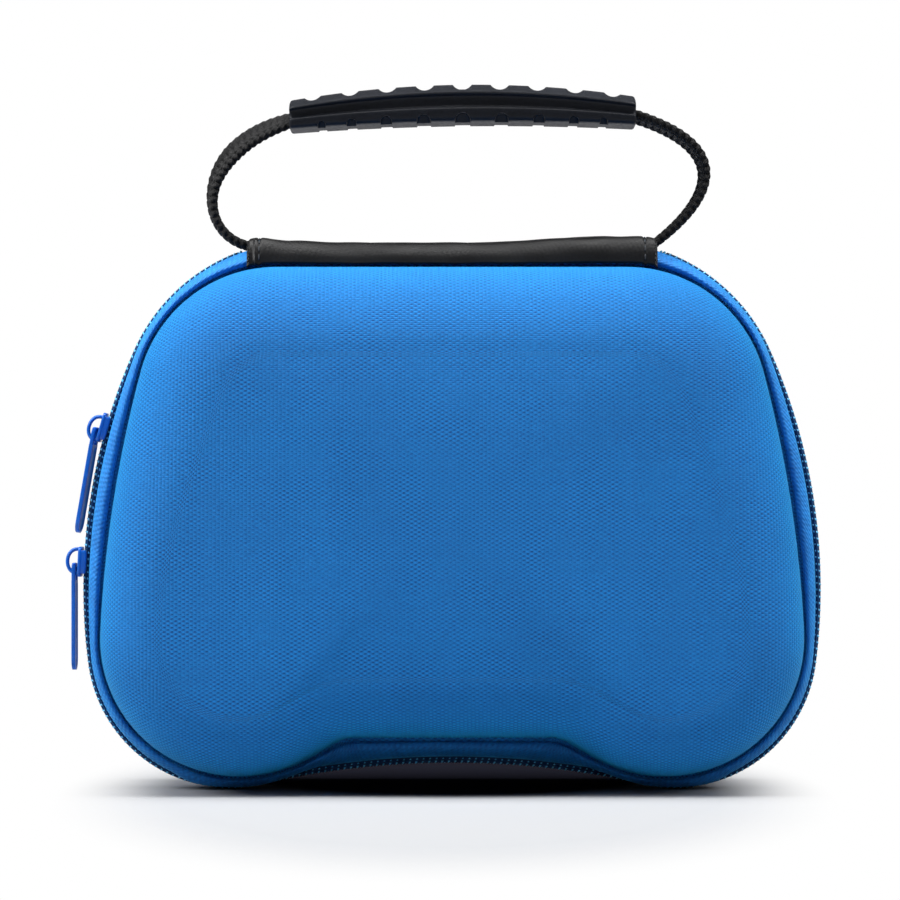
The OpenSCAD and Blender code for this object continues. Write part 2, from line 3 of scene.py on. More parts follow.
import bmesh
import bpy
import numpy as np
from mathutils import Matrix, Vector


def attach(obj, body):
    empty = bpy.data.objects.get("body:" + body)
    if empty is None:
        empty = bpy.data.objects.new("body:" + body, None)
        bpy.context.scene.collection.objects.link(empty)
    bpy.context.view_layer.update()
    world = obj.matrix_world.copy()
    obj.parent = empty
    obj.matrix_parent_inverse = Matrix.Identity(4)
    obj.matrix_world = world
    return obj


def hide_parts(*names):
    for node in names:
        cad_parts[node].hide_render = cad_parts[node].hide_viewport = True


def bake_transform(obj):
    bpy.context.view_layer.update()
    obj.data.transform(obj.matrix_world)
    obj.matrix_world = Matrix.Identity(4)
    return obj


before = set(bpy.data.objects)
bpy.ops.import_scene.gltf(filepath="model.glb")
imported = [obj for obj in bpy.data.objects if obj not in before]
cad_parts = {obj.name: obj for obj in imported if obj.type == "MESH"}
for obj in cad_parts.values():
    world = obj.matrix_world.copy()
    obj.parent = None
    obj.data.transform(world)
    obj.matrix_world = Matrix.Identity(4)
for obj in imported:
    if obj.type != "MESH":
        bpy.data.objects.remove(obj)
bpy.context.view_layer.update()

# The view.
# The case stands upright and is seen square on from about a metre, a little below its middle.
mm = 0.001
case_x = 2.05 * mm
view_distance = 1.0
view_middle = 80.5 * mm
eye_drop = 10.5 * mm
seen_width = 214.3 * mm

camera = bpy.data.objects.new("camera", bpy.data.cameras.new("camera"))
camera.data.sensor_width = 36.0
camera.data.lens = 36.0 * view_distance / seen_width
camera.data.clip_start = 0.01
camera.data.shift_y = eye_drop / seen_width
camera.location = (case_x - 0.5 * mm, -view_distance, view_middle - eye_drop)
camera.rotation_euler = (math.radians(90), 0, 0)
bpy.context.scene.collection.objects.link(camera)
bpy.context.scene.camera = camera

# The room.
# The case stands on a white sweep: its floor runs back and curves up into a wall.
# One soft box hangs overhead, one stands at each side and a weak one is behind the camera.
sweep_front, sweep_back, sweep_half, sweep_r, sweep_top = -2.2, 1.6, 3.0, 0.5, 2.6


def sweep_grid(steps):
    """Floor and wall in one sheet: a straight run, then a quarter circle of radius sweep_r, then a straight rise."""
    turn = np.linspace(0, math.pi / 2, steps)
    y = np.concatenate([[sweep_front], sweep_back - sweep_r + sweep_r * np.sin(turn), [sweep_back]])
    z = np.concatenate([[0.0], sweep_r - sweep_r * np.cos(turn), [sweep_top]])
    x = np.array([-sweep_half, sweep_half])
    return np.stack(np.broadcast_arrays(x[None, :], y[:, None], z[:, None]), axis=-1)


def grid_faces(rows, cols, closed_rows=False, closed_cols=False, first=0):
    """Corner numbers of the quads over a grid of points; a closed direction joins its last line to its first."""
    index = first + np.arange(rows * cols).reshape(rows, cols)
    here = index if closed_rows else index[:-1]
    after = np.roll(index, -1, axis=0) if closed_rows else index[1:]
    quads = np.stack([here, after, np.roll(after, -1, axis=1), np.roll(here, -1, axis=1)], axis=-1)
    return (quads if closed_cols else quads[:, :-1]).reshape(-1, 4)


def skin_mesh(name, points, faces, uv=None, flip=False):
    """Smooth mesh of quads; uv holds one pair of millimetres for each point."""
    faces = faces[:, ::-1] if flip else faces
    mesh = bpy.data.meshes.new(name)
    mesh.from_pydata(points.reshape(-1, 3).tolist(), [], faces.tolist())
    if uv is not None:
        layer = mesh.uv_layers.new(name="UVMap")
        layer.data.foreach_set("uv", uv.reshape(-1, 2)[faces.reshape(-1)].astype(np.float32).reshape(-1))
    mesh.polygons.foreach_set("use_smooth", np.ones(len(mesh.polygons), bool))
    return mesh


def stand(name, mesh, *materials):
    """Links a mesh to the scene as an object at the origin."""
    obj = bpy.data.objects.new(name, mesh)
    for material in materials:
        mesh.materials.append(material)
    bpy.context.scene.collection.objects.link(obj)
    return obj


# Near the case the sweep is lit paper, so that it takes the shadow. Further off it shows as plain white. Under and
# behind the case the paper is painted nearly black: a painted shadow.
white_paper = bpy.data.materials.new("white_paper")
white_paper.use_nodes = True
tree = white_paper.node_tree
paper = tree.nodes["Principled BSDF"]
paper.inputs["Roughness"].default_value = 0.9
paper.inputs["Specular IOR Level"].default_value = 0.0
# An oval under and behind the case, fading out at its edge, where the paper's colour is painted nearly black: a painted
# shadow.
under = tree.nodes.new("ShaderNodeMapping")
under.inputs["Location"].default_value = (-0.034, -0.57, 0)
under.inputs["Scale"].default_value = (17.5, 13.2, 1.0)
painted_shadow_reach = tree.nodes.new("ShaderNodeVectorMath")
painted_shadow_reach.operation = "LENGTH"
deep = tree.nodes.new("ShaderNodeMapRange")
deep.interpolation_type = "SMOOTHSTEP"
deep.inputs["From Min"].default_value = 0.80
deep.inputs["From Max"].default_value = 1.10
# tone mixes the painted shadow's nearly black colour into the paper's own colour.
tone = tree.nodes.new("ShaderNodeMix")
tone.data_type = "RGBA"
tone.inputs[6].default_value = (0.006, 0.006, 0.009, 1)
shade = tree.nodes.new("ShaderNodeMix")
shade.data_type = "RGBA"
shade.inputs[6].default_value = (0.38, 0.38, 0.39, 1)
shade.inputs[7].default_value = (0.29, 0.294, 0.302, 1)
plain = tree.nodes.new("ShaderNodeEmission")
plain.inputs["Strength"].default_value = 1.0
where = tree.nodes.new("ShaderNodeTexCoord")
oval = tree.nodes.new("ShaderNodeMapping")
oval.inputs["Scale"].default_value = (2.7, 1.0, 1.0)
away = tree.nodes.new("ShaderNodeVectorMath")
away.operation = "LENGTH"
far_off = tree.nodes.new("ShaderNodeMapRange")
far_off.interpolation_type = "SMOOTHSTEP"
far_off.inputs["From Min"].default_value = 0.165
far_off.inputs["From Max"].default_value = 0.25
rays = tree.nodes.new("ShaderNodeLightPath")
share = tree.nodes.new("ShaderNodeMath")
share.operation = "MULTIPLY"
blend_in = tree.nodes.new("ShaderNodeMixShader")
for source, target in (
    (where.outputs["Object"], under.inputs["Vector"]),
    (under.outputs["Vector"], painted_shadow_reach.inputs[0]),
    (painted_shadow_reach.outputs["Value"], deep.inputs["Value"]),
    (deep.outputs["Result"], tone.inputs["Factor"]),
    (rays.outputs["Is Camera Ray"], shade.inputs["Factor"]),
    (shade.outputs[2], tone.inputs[7]),
    (tone.outputs[2], paper.inputs["Base Color"]),
    (where.outputs["Object"], oval.inputs["Vector"]),
    (oval.outputs["Vector"], away.inputs[0]),
    (away.outputs["Value"], far_off.inputs["Value"]),
    (rays.outputs["Is Camera Ray"], share.inputs[0]),
    (far_off.outputs["Result"], share.inputs[1]),
    (share.outputs[0], blend_in.inputs["Fac"]),
    (paper.outputs[0], blend_in.inputs[1]),
    (plain.outputs[0], blend_in.inputs[2]),
    (blend_in.outputs[0], tree.nodes["Material Output"].inputs["Surface"]),
):
    tree.links.new(source, target)
stand("sweep", skin_mesh("sweep", sweep_grid(24), grid_faces(26, 2)), white_paper)

room = bpy.data.worlds.new("room")
room.use_nodes = True
sky = room.node_tree.nodes["Background"]
seen = room.node_tree.nodes.new("ShaderNodeLightPath")
level = room.node_tree.nodes.new("ShaderNodeMapRange")
room.node_tree.links.new(seen.outputs["Is Camera Ray"], level.inputs["Value"])
level.inputs["To Min"].default_value = 0.09
level.inputs["To Max"].default_value = 1.0
room.node_tree.links.new(level.outputs["Result"], sky.inputs["Strength"])
sky.inputs["Color"].default_value = (1, 1, 1, 1)
bpy.context.scene.world = room


def soft_box(name, place, target, size, watts):
    """Rectangular area lamp at place, turned towards target and not itself seen."""
    data = bpy.data.lights.new(name, "AREA")
    data.shape = "RECTANGLE"
    data.size, data.size_y = size
    data.energy = watts
    obj = bpy.data.objects.new(name, data)
    obj.location = place
    obj.rotation_euler = (Vector(target) - Vector(place)).to_track_quat("-Z", "Y").to_euler()
    obj.visible_camera = False
    bpy.context.scene.collection.objects.link(obj)


soft_box("box_above", (0, -0.11, 1.2), (0, 0, 0.08), (1.5, 0.6), 36)
soft_box("box_left", (-1.0, -0.18, 0.75), (0, 0, 0.08), (0.6, 0.6), 16)
soft_box("box_right", (1.0, -0.14, 0.75), (0, 0, 0.08), (0.6, 0.6), 7)
soft_box("box_front", (0, -1.9, 0.9), (0, 0, 0.08), (1.2, 0.8), 1.2)
bpy.context.scene.view_settings.view_transform = "Standard"

# Front and rear shells.
# Each is foam pressed hot in a mould between a woven polyester face and a knitted lining.
# The side wall rolls into a nearly flat face, and a flange at the rim is sewn to the zip tape.
rim_top = 130.5
corner_at, corner_r = 35.6, 44.0
lobe_at, lobe_r = 53.0, 34.0
side_r = 140.0
notch_rise = 6.0
groove_top, groove_foot = 6.5, 3.0
dome_notch, notch_slope, notch_fillet = 12.2, 30.0, 8.0
half_depth, wall, edge_r, draft, crown = 35.0, 3.2, 14.5, 1.2, 1.6
flange_low, flange_high = 4.3, 6.2
tape_end = 46.5
top_spread, roll_end = 0.5, math.radians(85.5)
fine = 8


def far_centre(a, ra, b, rb):
    """Centre that lies ra from a and rb from b, on the side towards -X."""
    d = np.linalg.norm(b - a)
    u = (b - a) / d
    s = (ra * ra - rb * rb + d * d) / (2 * d)
    return a + u * s + math.sqrt(ra * ra - s * s) * np.array([u[1], -u[0]])


def heading(v):
    return math.atan2(v[1], v[0])


def arc(centre, r, a0, a1, n):
    """n points of a circle about centre, from angle a0 up to but not including a1."""
    a = np.linspace(a0, a1, n, endpoint=False)
    return np.asarray(centre) + r * np.stack([np.cos(a), np.sin(a)], axis=1)


def run(a, b, n):
    """n points of a straight line from a up to but not including b."""
    return np.asarray(a) + (np.asarray(b) - a) * np.linspace(0, 1, n, endpoint=False)[:, None]


def whole(half):
    """Both halves of an outline whose right half runs from the top centre to the bottom centre."""
    return np.concatenate([half, half[-2:0:-1] * [-1, 1]])


up = math.pi / 2
rim_corner = np.array([corner_at, rim_top - corner_r])
rim_lobe = np.array([lobe_at, lobe_r])
rim_side = far_centre(rim_corner, side_r - corner_r, rim_lobe, side_r - lobe_r)
notch_r = (lobe_at**2 + notch_rise**2) / (2 * notch_rise) - lobe_r
rim_notch = np.array([0, notch_rise - notch_r])
rim_bend = math.acos((tape_end - corner_at) / corner_r)

dome_side_r = 2.07 * side_r
dome_corner_r = corner_r - 10.3
dome_corner = np.array([corner_at + 5.7, rim_top - groove_top - dome_corner_r])
dome_lobe_r = lobe_r - 0.7
dome_lobe = np.array([lobe_at - 2.9, groove_foot + dome_lobe_r])
dome_side = far_centre(dome_corner, dome_side_r - dome_corner_r, dome_lobe, dome_side_r - dome_lobe_r)
dome_bend = math.acos((tape_end - 1 - dome_corner[0]) / dome_corner_r)
dome_foot = math.radians(-98)
dome_sweep = math.radians(-90 - notch_slope)
fillet_a = math.radians(90 - notch_slope)
fillet_z = dome_notch - notch_fillet
fillet_x = (
    dome_lobe @ [math.cos(fillet_a), math.sin(fillet_a)] - dome_lobe_r - notch_fillet - fillet_z * math.sin(fillet_a)
) / math.cos(fillet_a)
face_middle = np.array([0, rim_top / 2])


def rim(d, k=fine):
    """Outline through the zip, inset by d: a line, four tangent arcs and the shallow notch between the lobes."""
    a_side, a_lobe = heading(rim_corner - rim_side), heading(rim_lobe - rim_side)
    return whole(np.concatenate([
        run([0, rim_top - d], [corner_at, rim_top - d], 3 * k),
        arc(rim_corner, corner_r - d, up, rim_bend, 2 * k),
        arc(rim_corner, corner_r - d, rim_bend, a_side, 8 * k),
        arc(rim_side, side_r - d, a_side, a_lobe, 6 * k),
        arc(rim_lobe, lobe_r - d, a_lobe, heading(rim_notch - rim_lobe), 10 * k),
        arc(rim_notch, notch_r + d, heading(rim_lobe - rim_notch), up, 9 * k),
        [[0, notch_rise + d]],
    ]))


def dome(d, k=fine):
    """Outline of the dome's foot, inset by d: as the rim's, but with a deeper, flat-topped notch."""
    a_side, a_lobe = heading(dome_corner - dome_side), heading(dome_lobe - dome_side)
    lobe_end = dome_lobe + (dome_lobe_r - d) * np.array([math.cos(dome_sweep), math.sin(dome_sweep)])
    fillet = np.array([fillet_x, fillet_z])
    fillet_end = fillet + (notch_fillet + d) * np.array([math.cos(fillet_a), math.sin(fillet_a)])
    top = rim_top - groove_top - d
    return whole(np.concatenate([
        run([0, top], [dome_corner[0], top], 3 * k),
        arc(dome_corner, dome_corner_r - d, up, dome_bend, 2 * k),
        arc(dome_corner, dome_corner_r - d, dome_bend, a_side, 8 * k),
        arc(dome_side, dome_side_r - d, a_side, a_lobe, 6 * k),
        arc(dome_lobe, dome_lobe_r - d, a_lobe, dome_foot, 10 * k),
        arc(dome_lobe, dome_lobe_r - d, dome_foot, dome_sweep, 2 * k),
        run(lobe_end, fillet_end, k),
        arc(fillet, notch_fillet + d, fillet_a, up, 2 * k),
        run([fillet_x, dome_notch + d], [0, dome_notch + d], 4 * k),
        [[0, dome_notch + d]],
    ]))


def welt(w, k=fine):
    """Outline between the rim (w = 0) and the dome's foot (w = 1)."""
    return rim(0, k) * (1 - w) + dome(0, k) * w


def at_depth(outline, t, side):
    """Places an outline t mm from the zip plane, in metres; side is -1 for the front half and 1 for the rear."""
    depth = np.broadcast_to(side * np.asarray(t, float), outline.shape[:1])
    return np.stack([outline[:, 0] * mm + case_x, depth * mm, outline[:, 1] * mm], axis=1)


def inset(outline, d):
    """Outline inset by a distance of its own at each point: an outline moves in a straight line as its inset grows."""
    flat = outline(0.0)
    return flat + (outline(1.0) - flat) * np.reshape(d, (-1, 1))


def ramp(v):
    v = np.clip(v, 0, 1)
    return v * v * (3 - 2 * v)


def rolled(a, r):
    """Outline and depth of the rolled edge at angle a: an ellipse r deep and, at the top and its corners, wider."""
    wide = 1 + top_spread * ramp((dome(0)[:, 1] - 40) / 72)
    return inset(dome, draft + wide * (edge_r - r * math.cos(a))), half_depth - crown - edge_r + r * math.sin(a)


def face_ring(k, drop, depth):
    """Ring of the face: the roll's edge shrunk to k, which stands drop (1 - k^3) proud of depth."""
    return face_middle + (rolled(roll_end, edge_r)[0] - face_middle) * k, depth + drop * (1 - k**3)


def lengths(points):
    """Distance along the second axis of a grid of points, in millimetres."""
    return np.concatenate([[0.0], np.cumsum(np.linalg.norm(np.diff(points, axis=0), axis=1))]) / mm


def shell_rings():
    """The section from the middle of the lining, out round the flange and over the roll to the middle of the face."""
    inner = [face_ring(k, 0, half_depth - crown / 2 - wall) for k in (0.02, 0.2, 0.4, 0.5)]
    inner += [face_ring(0.8, 0, half_depth - 0.8 * crown - wall)]
    inner += [rolled(a, edge_r - wall) for a in np.radians([85, 72, 60, 45, 30, 15, 0])]
    inner += [(dome(wall), 12.0), (dome(wall), flange_low)]
    inner += [(welt(0.68), flange_low), (welt(0.68), flange_high - 0.6)]
    outer = [(welt(0.74), flange_high), (dome(0.15), flange_high)]
    outer += [
        (dome(0.15 + (draft - 0.15) * s), flange_high + (half_depth - crown - edge_r - flange_high) * s)
        for s in np.linspace(0.02, 0.96, 8)
    ]
    outer += [rolled(a, edge_r) for a in np.linspace(0, roll_end, 24)]
    face_low = outer[-1][1]
    return inner, outer, [face_ring(k, half_depth - face_low, face_low) for k in np.linspace(0.975, 0.02, 30)]


def shell_mesh(name, side):
    """Loft of the rings. Its UV is millimetres of cloth: flat on the face, then followed down the wall."""
    inner, outer, face = shell_rings()
    rings = inner + outer + face
    grid = np.stack([at_depth(o, t, side) for o, t in rings])
    flat = outer[-1][0]
    even = dome(draft + edge_r)
    tangent = np.roll(even, -1, axis=0) - np.roll(even, 1, axis=0)
    normal = np.stack([-tangent[:, 1], tangent[:, 0]], axis=1)
    normal /= np.linalg.norm(normal, axis=1)[:, None]
    steps = np.linalg.norm(np.diff(grid, axis=0), axis=2) / mm
    edge = len(inner) + len(outer)
    down = np.cumsum(steps[edge - 1::-1], axis=0)[::-1]
    uv = np.concatenate([flat + normal * down[:, :, None], np.stack([o for o, _ in face])])
    quads = grid_faces(len(rings), grid.shape[1], closed_cols=True)
    mesh = skin_mesh(name, grid, quads, uv, flip=side > 0)
    loops = grid.shape[1]
    lined = np.repeat(np.arange(len(rings) - 1) < len(inner), loops)
    mesh.polygons.foreach_set("material_index", lined.astype(np.int32))
    cap_ends(mesh, loops)
    mesh.set_sharp_from_angle(angle=math.radians(50))
    return mesh


def cap_ends(mesh, loops):
    """Closes the first and the last ring of a tube of rings of loops points each, and turns its faces outwards."""
    bm = bmesh.new()
    bm.from_mesh(mesh)
    bm.verts.ensure_lookup_table()
    for ring in (bm.verts[:loops], bm.verts[len(bm.verts) - loops:]):
        bmesh.ops.contextual_create(bm, geom=list(ring))
    bmesh.ops.recalc_face_normals(bm, faces=bm.faces)
    for face in bm.faces:
        face.smooth = True
    bm.to_mesh(mesh)
    bm.free()


def srgb(r, g, b):
    """Linear colour of an sRGB colour given in 0 to 255."""
    c = np.array([r, g, b]) / 255.0
    return (*np.where(c <= 0.04045, c / 12.92, ((c + 0.055) / 1.055) ** 2.4).tolist(), 1.0)


class Finish:
    """A material under construction, with short ways to add, join and fill its nodes."""

    def __init__(self, name):
        self.material = bpy.data.materials.new(name)
        self.material.use_nodes = True
        self.tree = self.material.node_tree
        self.bsdf = self.tree.nodes["Principled BSDF"]

    def put(self, socket, value):
        if isinstance(value, bpy.types.NodeSocket):
            self.tree.links.new(value, socket)
        else:
            socket.default_value = value

    def node(self, kind, inputs=(), **values):
        n = self.tree.nodes.new(kind)
        for key, value in values.items():
            setattr(n, key, value)
        for key, value in dict(inputs).items():
            self.put(n.inputs[key], value)
        return n

    def math(self, operation, a, b=0.0, clamp=False):
        return self.node("ShaderNodeMath", {0: a, 1: b}, operation=operation, use_clamp=clamp).outputs[0]

    def mix(self, share, a, b):
        return self.node("ShaderNodeMix", {0: share, 6: a, 7: b}, data_type="RGBA").outputs[2]

    def noise(self, vector, scale, detail=2.0):
        return self.node("ShaderNodeTexNoise", {"Vector": vector, "Scale": scale, "Detail": detail}).outputs["Fac"]

    def place(self):
        return self.node("ShaderNodeTexCoord").outputs["Object"]

    def cloth(self):
        return self.node("ShaderNodeTexCoord").outputs["UV"]

    def axes(self, vector):
        return self.node("ShaderNodeSeparateXYZ", {0: vector}).outputs

    def wave(self, value, pitch, shift=0.0):
        """Sine of value, positive for one pitch and negative for the next."""
        return self.math("SINE", self.math("ADD", self.math("MULTIPLY", value, math.pi / pitch), shift))

    def remap(self, value, a, b, c, d):
        return self.node("ShaderNodeMapRange", {0: value, 1: a, 2: b, 3: c, 4: d}).outputs[0]

    def bump(self, height, distance, strength=1.0):
        inputs = {"Height": height, "Distance": distance, "Strength": strength}
        return self.node("ShaderNodeBump", inputs).outputs["Normal"]

    def finish(self, **values):
        for key, value in values.items():
            self.put(self.bsdf.inputs[key.replace("_", " ")], value)
        return self.material


def plain_weave(name, hollow, thread, pitch, depth, rough, sheen, sheen_tint, cloud):
    """Plain weave on millimetres of cloth: sin(u) sin(v) is high where the warp crosses and low where the weft does."""
    m = Finish(name)
    u, v, _ = m.axes(m.cloth())
    wave_u, wave_v = m.wave(u, pitch[0]), m.wave(v, pitch[1])
    over = m.math("MULTIPLY", wave_u, wave_v)
    fibre = m.noise(m.place(), 2600)
    patch = m.noise(m.place(), 45, 3.0)
    clear = m.remap(m.noise(m.place(), 130, 2.0), 0.35, 0.65, 0.45, 1.0)
    tone = m.math("ADD", m.math("MULTIPLY", m.math("MULTIPLY", over, clear), 0.42), m.math("MULTIPLY", fibre, 0.5))
    tone = m.math("ADD", tone, m.math("MULTIPLY", m.math("SUBTRACT", patch, 0.5), cloud))
    tone = m.math("ADD", tone, 0.25, clamp=True)
    height = m.math("ADD", m.math("ABSOLUTE", over), m.math("MULTIPLY", fibre, 0.35))
    return m.finish(
        Base_Color=m.mix(tone, hollow, thread),
        Roughness=rough,
        Specular_IOR_Level=0.2,
        Sheen_Weight=sheen,
        Sheen_Roughness=0.4,
        Sheen_Tint=sheen_tint,
        Normal=m.bump(height, depth),
    )


shell_cloth = plain_weave(
    "shell_cloth", srgb(1, 52, 112), srgb(18, 134, 216), (0.89, 0.50), 0.00014, 0.7, 0.42, srgb(40, 205, 255), 0.18)
lining_cloth = plain_weave(
    "lining_cloth", srgb(12, 30, 60), srgb(36, 66, 110), (0.9, 0.9), 0.00010, 0.9, 0.2, srgb(160, 190, 230), 0.30)

for half, side in (("front", -1), ("rear", 1)):
    skin = stand(f"{half}_shell_skin", shell_mesh(f"{half}_shell_skin", side), shell_cloth, lining_cloth)
    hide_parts(f"{half}_shell")
    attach(skin, f"{half}_half")

# Bindings.
# A woven tape is folded over each shell's cut edge inside and sewn down with the zip.
def through(points, steps, closed=False):
    """Catmull-Rom curve through the points along the first axis, with steps points to a span."""
    p = np.asarray(points, float)
    if closed:
        p = np.concatenate([p[-1:], p, p[:2]])
    else:
        p = np.concatenate([2 * p[:1] - p[1:2], p, 2 * p[-1:] - p[-2:-1]])
    t = np.linspace(0, 1, steps, endpoint=False).reshape((1, steps) + (1,) * (p.ndim - 1))
    a, b, c, d = (p[i:len(p) - 3 + i][:, None] for i in range(4))
    curve = 0.5 * (2 * b + (c - a) * t + (2 * a - 5 * b + 4 * c - d) * t**2 + (3 * b - a - 3 * c + d) * t**3)
    curve = curve.reshape((-1,) + p.shape[1:])
    return curve if closed else np.concatenate([curve, p[-2:-1]])


def hoop_mesh(name, loops, side, steps, span=None):
    """Closed section carried round an outline; span cuts it to a strip, with an end cap at each end."""
    control = np.stack([at_depth(o, t, side) for o, t in loops])
    if span is not None:
        control = control[:, span]
    grid = through(control, steps, closed=True).transpose(1, 0, 2)
    along = lengths(grid[:, 0])[:, None] + np.zeros(grid.shape[1])
    across = lengths(grid[len(grid) // 3])[None, :] + np.zeros((len(grid), 1))
    faces = grid_faces(*grid.shape[:2], closed_rows=span is None, closed_cols=True)
    mesh = skin_mesh(name, grid, faces, np.stack([along, across], axis=-1), flip=side > 0)
    if span is not None:
        cap_ends(mesh, grid.shape[1])
    return mesh


def ribbed_tape(name, hollow, thread, rib, depth, rough, sheen):
    """Woven tape: ribs across it, each broken by a finer rib at a slant, on millimetres along and across."""
    m = Finish(name)
    u, v, _ = m.axes(m.cloth())
    ribs = m.wave(u, rib)
    slant = m.wave(m.math("ADD", m.math("MULTIPLY", u, 0.7), v), rib * 0.8)
    twill = m.math("MULTIPLY", m.math("ADD", ribs, slant), 0.5)
    fibre = m.noise(m.place(), 2400)
    pucker = m.noise(m.place(), 330, 2.0)
    tone = m.math("ADD", m.math("MULTIPLY", twill, 0.12), m.math("MULTIPLY", fibre, 0.45))
    tone = m.math("ADD", tone, m.math("MULTIPLY", pucker, 0.5))
    tone = m.math("ADD", tone, 0.03, clamp=True)
    height = m.math("ADD", m.math("MULTIPLY", twill, 0.5), m.math("MULTIPLY", pucker, 2.2))
    return m.finish(
        Base_Color=m.mix(tone, hollow, thread),
        Roughness=rough,
        Specular_IOR_Level=0.3,
        Sheen_Weight=sheen,
        Sheen_Roughness=0.4,
        Sheen_Tint=srgb(80, 205, 255),
        Normal=m.bump(height, depth),
    )


binding_tape = ribbed_tape("binding_tape", srgb(10, 26, 54), srgb(30, 58, 104), 0.7, 0.00010, 0.85, 0.2)
binding_loops = [
    (welt(0.9), 4.1), (welt(0.9), 3.7), (welt(0.96), 3.3), (dome(2.0), 3.3), (dome(3.6), 3.3), (dome(4.2), 3.7),
    (dome(4.2), 5.4), (dome(4.2), 7.1), (dome(4.0), 7.5), (dome(3.6), 7.5), (dome(3.4), 7.1), (dome(3.4), 5.4),
    (dome(3.4), 4.3), (dome(3.1), 4.1), (dome(2.0), 4.1),
]
for half, side in (("front", -1), ("rear", 1)):
    fold = stand(f"{half}_binding_fold", hoop_mesh(f"{half}_binding_fold", binding_loops, side, 2), binding_tape)
    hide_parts(f"{half}_binding")
    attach(fold, f"{half}_half")

# Zip tapes.
# From the coil each woven tape rolls out over the shell's flange like piping, and is sewn into the groove.
zip_tape = ribbed_tape("zip_tape", srgb(3, 58, 124), srgb(26, 138, 224), 0.62, 0.00012, 0.7, 0.45)


def pressed(outline, share):
    """Lowers an outline where the case stands on its lobes, as its weight presses the soft roll."""
    return outline * np.stack([np.ones(len(outline)), 1 - share * ramp(1 - rim(0)[:, 1] / 3)], axis=1)


below_corner = ramp((112 - rim(0)[:, 1]) / 28)
coil_shown = 0.8 + 0.95 * below_corner
tape_loops = [
    (rim(1.95), 0.7), (rim(1.9), 1.9), (inset(rim, coil_shown + 0.1), 2.7),
    (pressed(inset(rim, coil_shown + 0.05), 0.3), 3.9), (pressed(welt(0.34), 0.4), 5.6), (pressed(welt(0.50), 0.3), 7.1),
    (welt(0.68), 7.9), (welt(0.83), 7.6), (welt(0.88), 6.9), (welt(0.82), 6.45), (welt(0.60), 6.4),
    (welt(0.46), 4.8), (rim(2.7), 2.8), (rim(2.8), 0.7),
]
beyond_band = slice(5 * fine, 71 * fine + 1)
for half, side in (("front", -1), ("rear", 1)):
    roll = stand(f"{half}_tape_roll", hoop_mesh(f"{half}_tape_roll", tape_loops, side, 4, beyond_band), zip_tape)
    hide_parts(f"{half}_zip_tape")
    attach(roll, f"{half}_half")

# Zip coils.
# Each is a nylon filament wound into teeth and stitched to a dark carrier along the tape's edge. The teeth are coloured
# paler than the tape, partly as a painted highlight, and the carrier darker, partly as painted shade between the teeth.
# Between the two sliders the teeth are apart; everywhere else they lock.
tooth_pitch, coil_end = 1.55, 49.8
upper_at, lower_at = math.radians(15.8), math.radians(2.6)
upper_travel, lower_travel = math.radians(6.6), math.radians(8.4)
post_half = 0.1


def tooth_shape(rows, cols):
    """Rounded bar: (out, along, deep) with the section's radius cos(v)^0.55 and the depth sin(v)^0.75, both signed."""
    v = np.linspace(-up, up, rows + 2)[1:-1]
    u = np.linspace(0, 2 * math.pi, cols, endpoint=False)
    r = np.cos(v)[:, None] ** 0.55
    deep = np.sign(np.sin(v)) * np.abs(np.sin(v)) ** 0.75
    ring = np.stack(np.broadcast_arrays(r * np.cos(u), r * np.sin(u), deep[:, None]), axis=-1).reshape(-1, 3)
    points = np.concatenate([ring, [[0, 0, -1], [0, 0, 1]]])
    body = grid_faces(rows, cols, closed_cols=True)
    i = np.arange(cols)
    j = (i + 1) % cols
    tips = np.concatenate([
        np.stack([i, j, np.full(cols, rows * cols)], axis=1),
        np.stack([j + (rows - 1) * cols, i + (rows - 1) * cols, np.full(cols, rows * cols + 1)], axis=1),
    ])
    return points, body, tips


def rim_places(step, phase):
    """Points and outward normals every step along the rim, from the band's right end round to its left end."""
    outline = rim(0, 16)
    outline = np.concatenate([outline, outline[:1]])
    s = np.concatenate([[0.0], np.cumsum(np.linalg.norm(np.diff(outline, axis=0), axis=1))])
    start = corner_at + corner_r * (up - math.acos((coil_end - corner_at) / corner_r))
    count = round((s[-1] - 2 * start) / step)
    at = start + (s[-1] - 2 * start) * (np.arange(count) + phase) / count
    place = np.stack([np.interp(at, s, outline[:, k]) for k in (0, 1)], axis=1)
    ahead = np.stack([np.interp(at + 0.3, s, outline[:, k]) for k in (0, 1)], axis=1)
    along = (ahead - place) / np.linalg.norm(ahead - place, axis=1)[:, None]
    return place, np.stack([-along[:, 1], along[:, 0]], axis=1), along


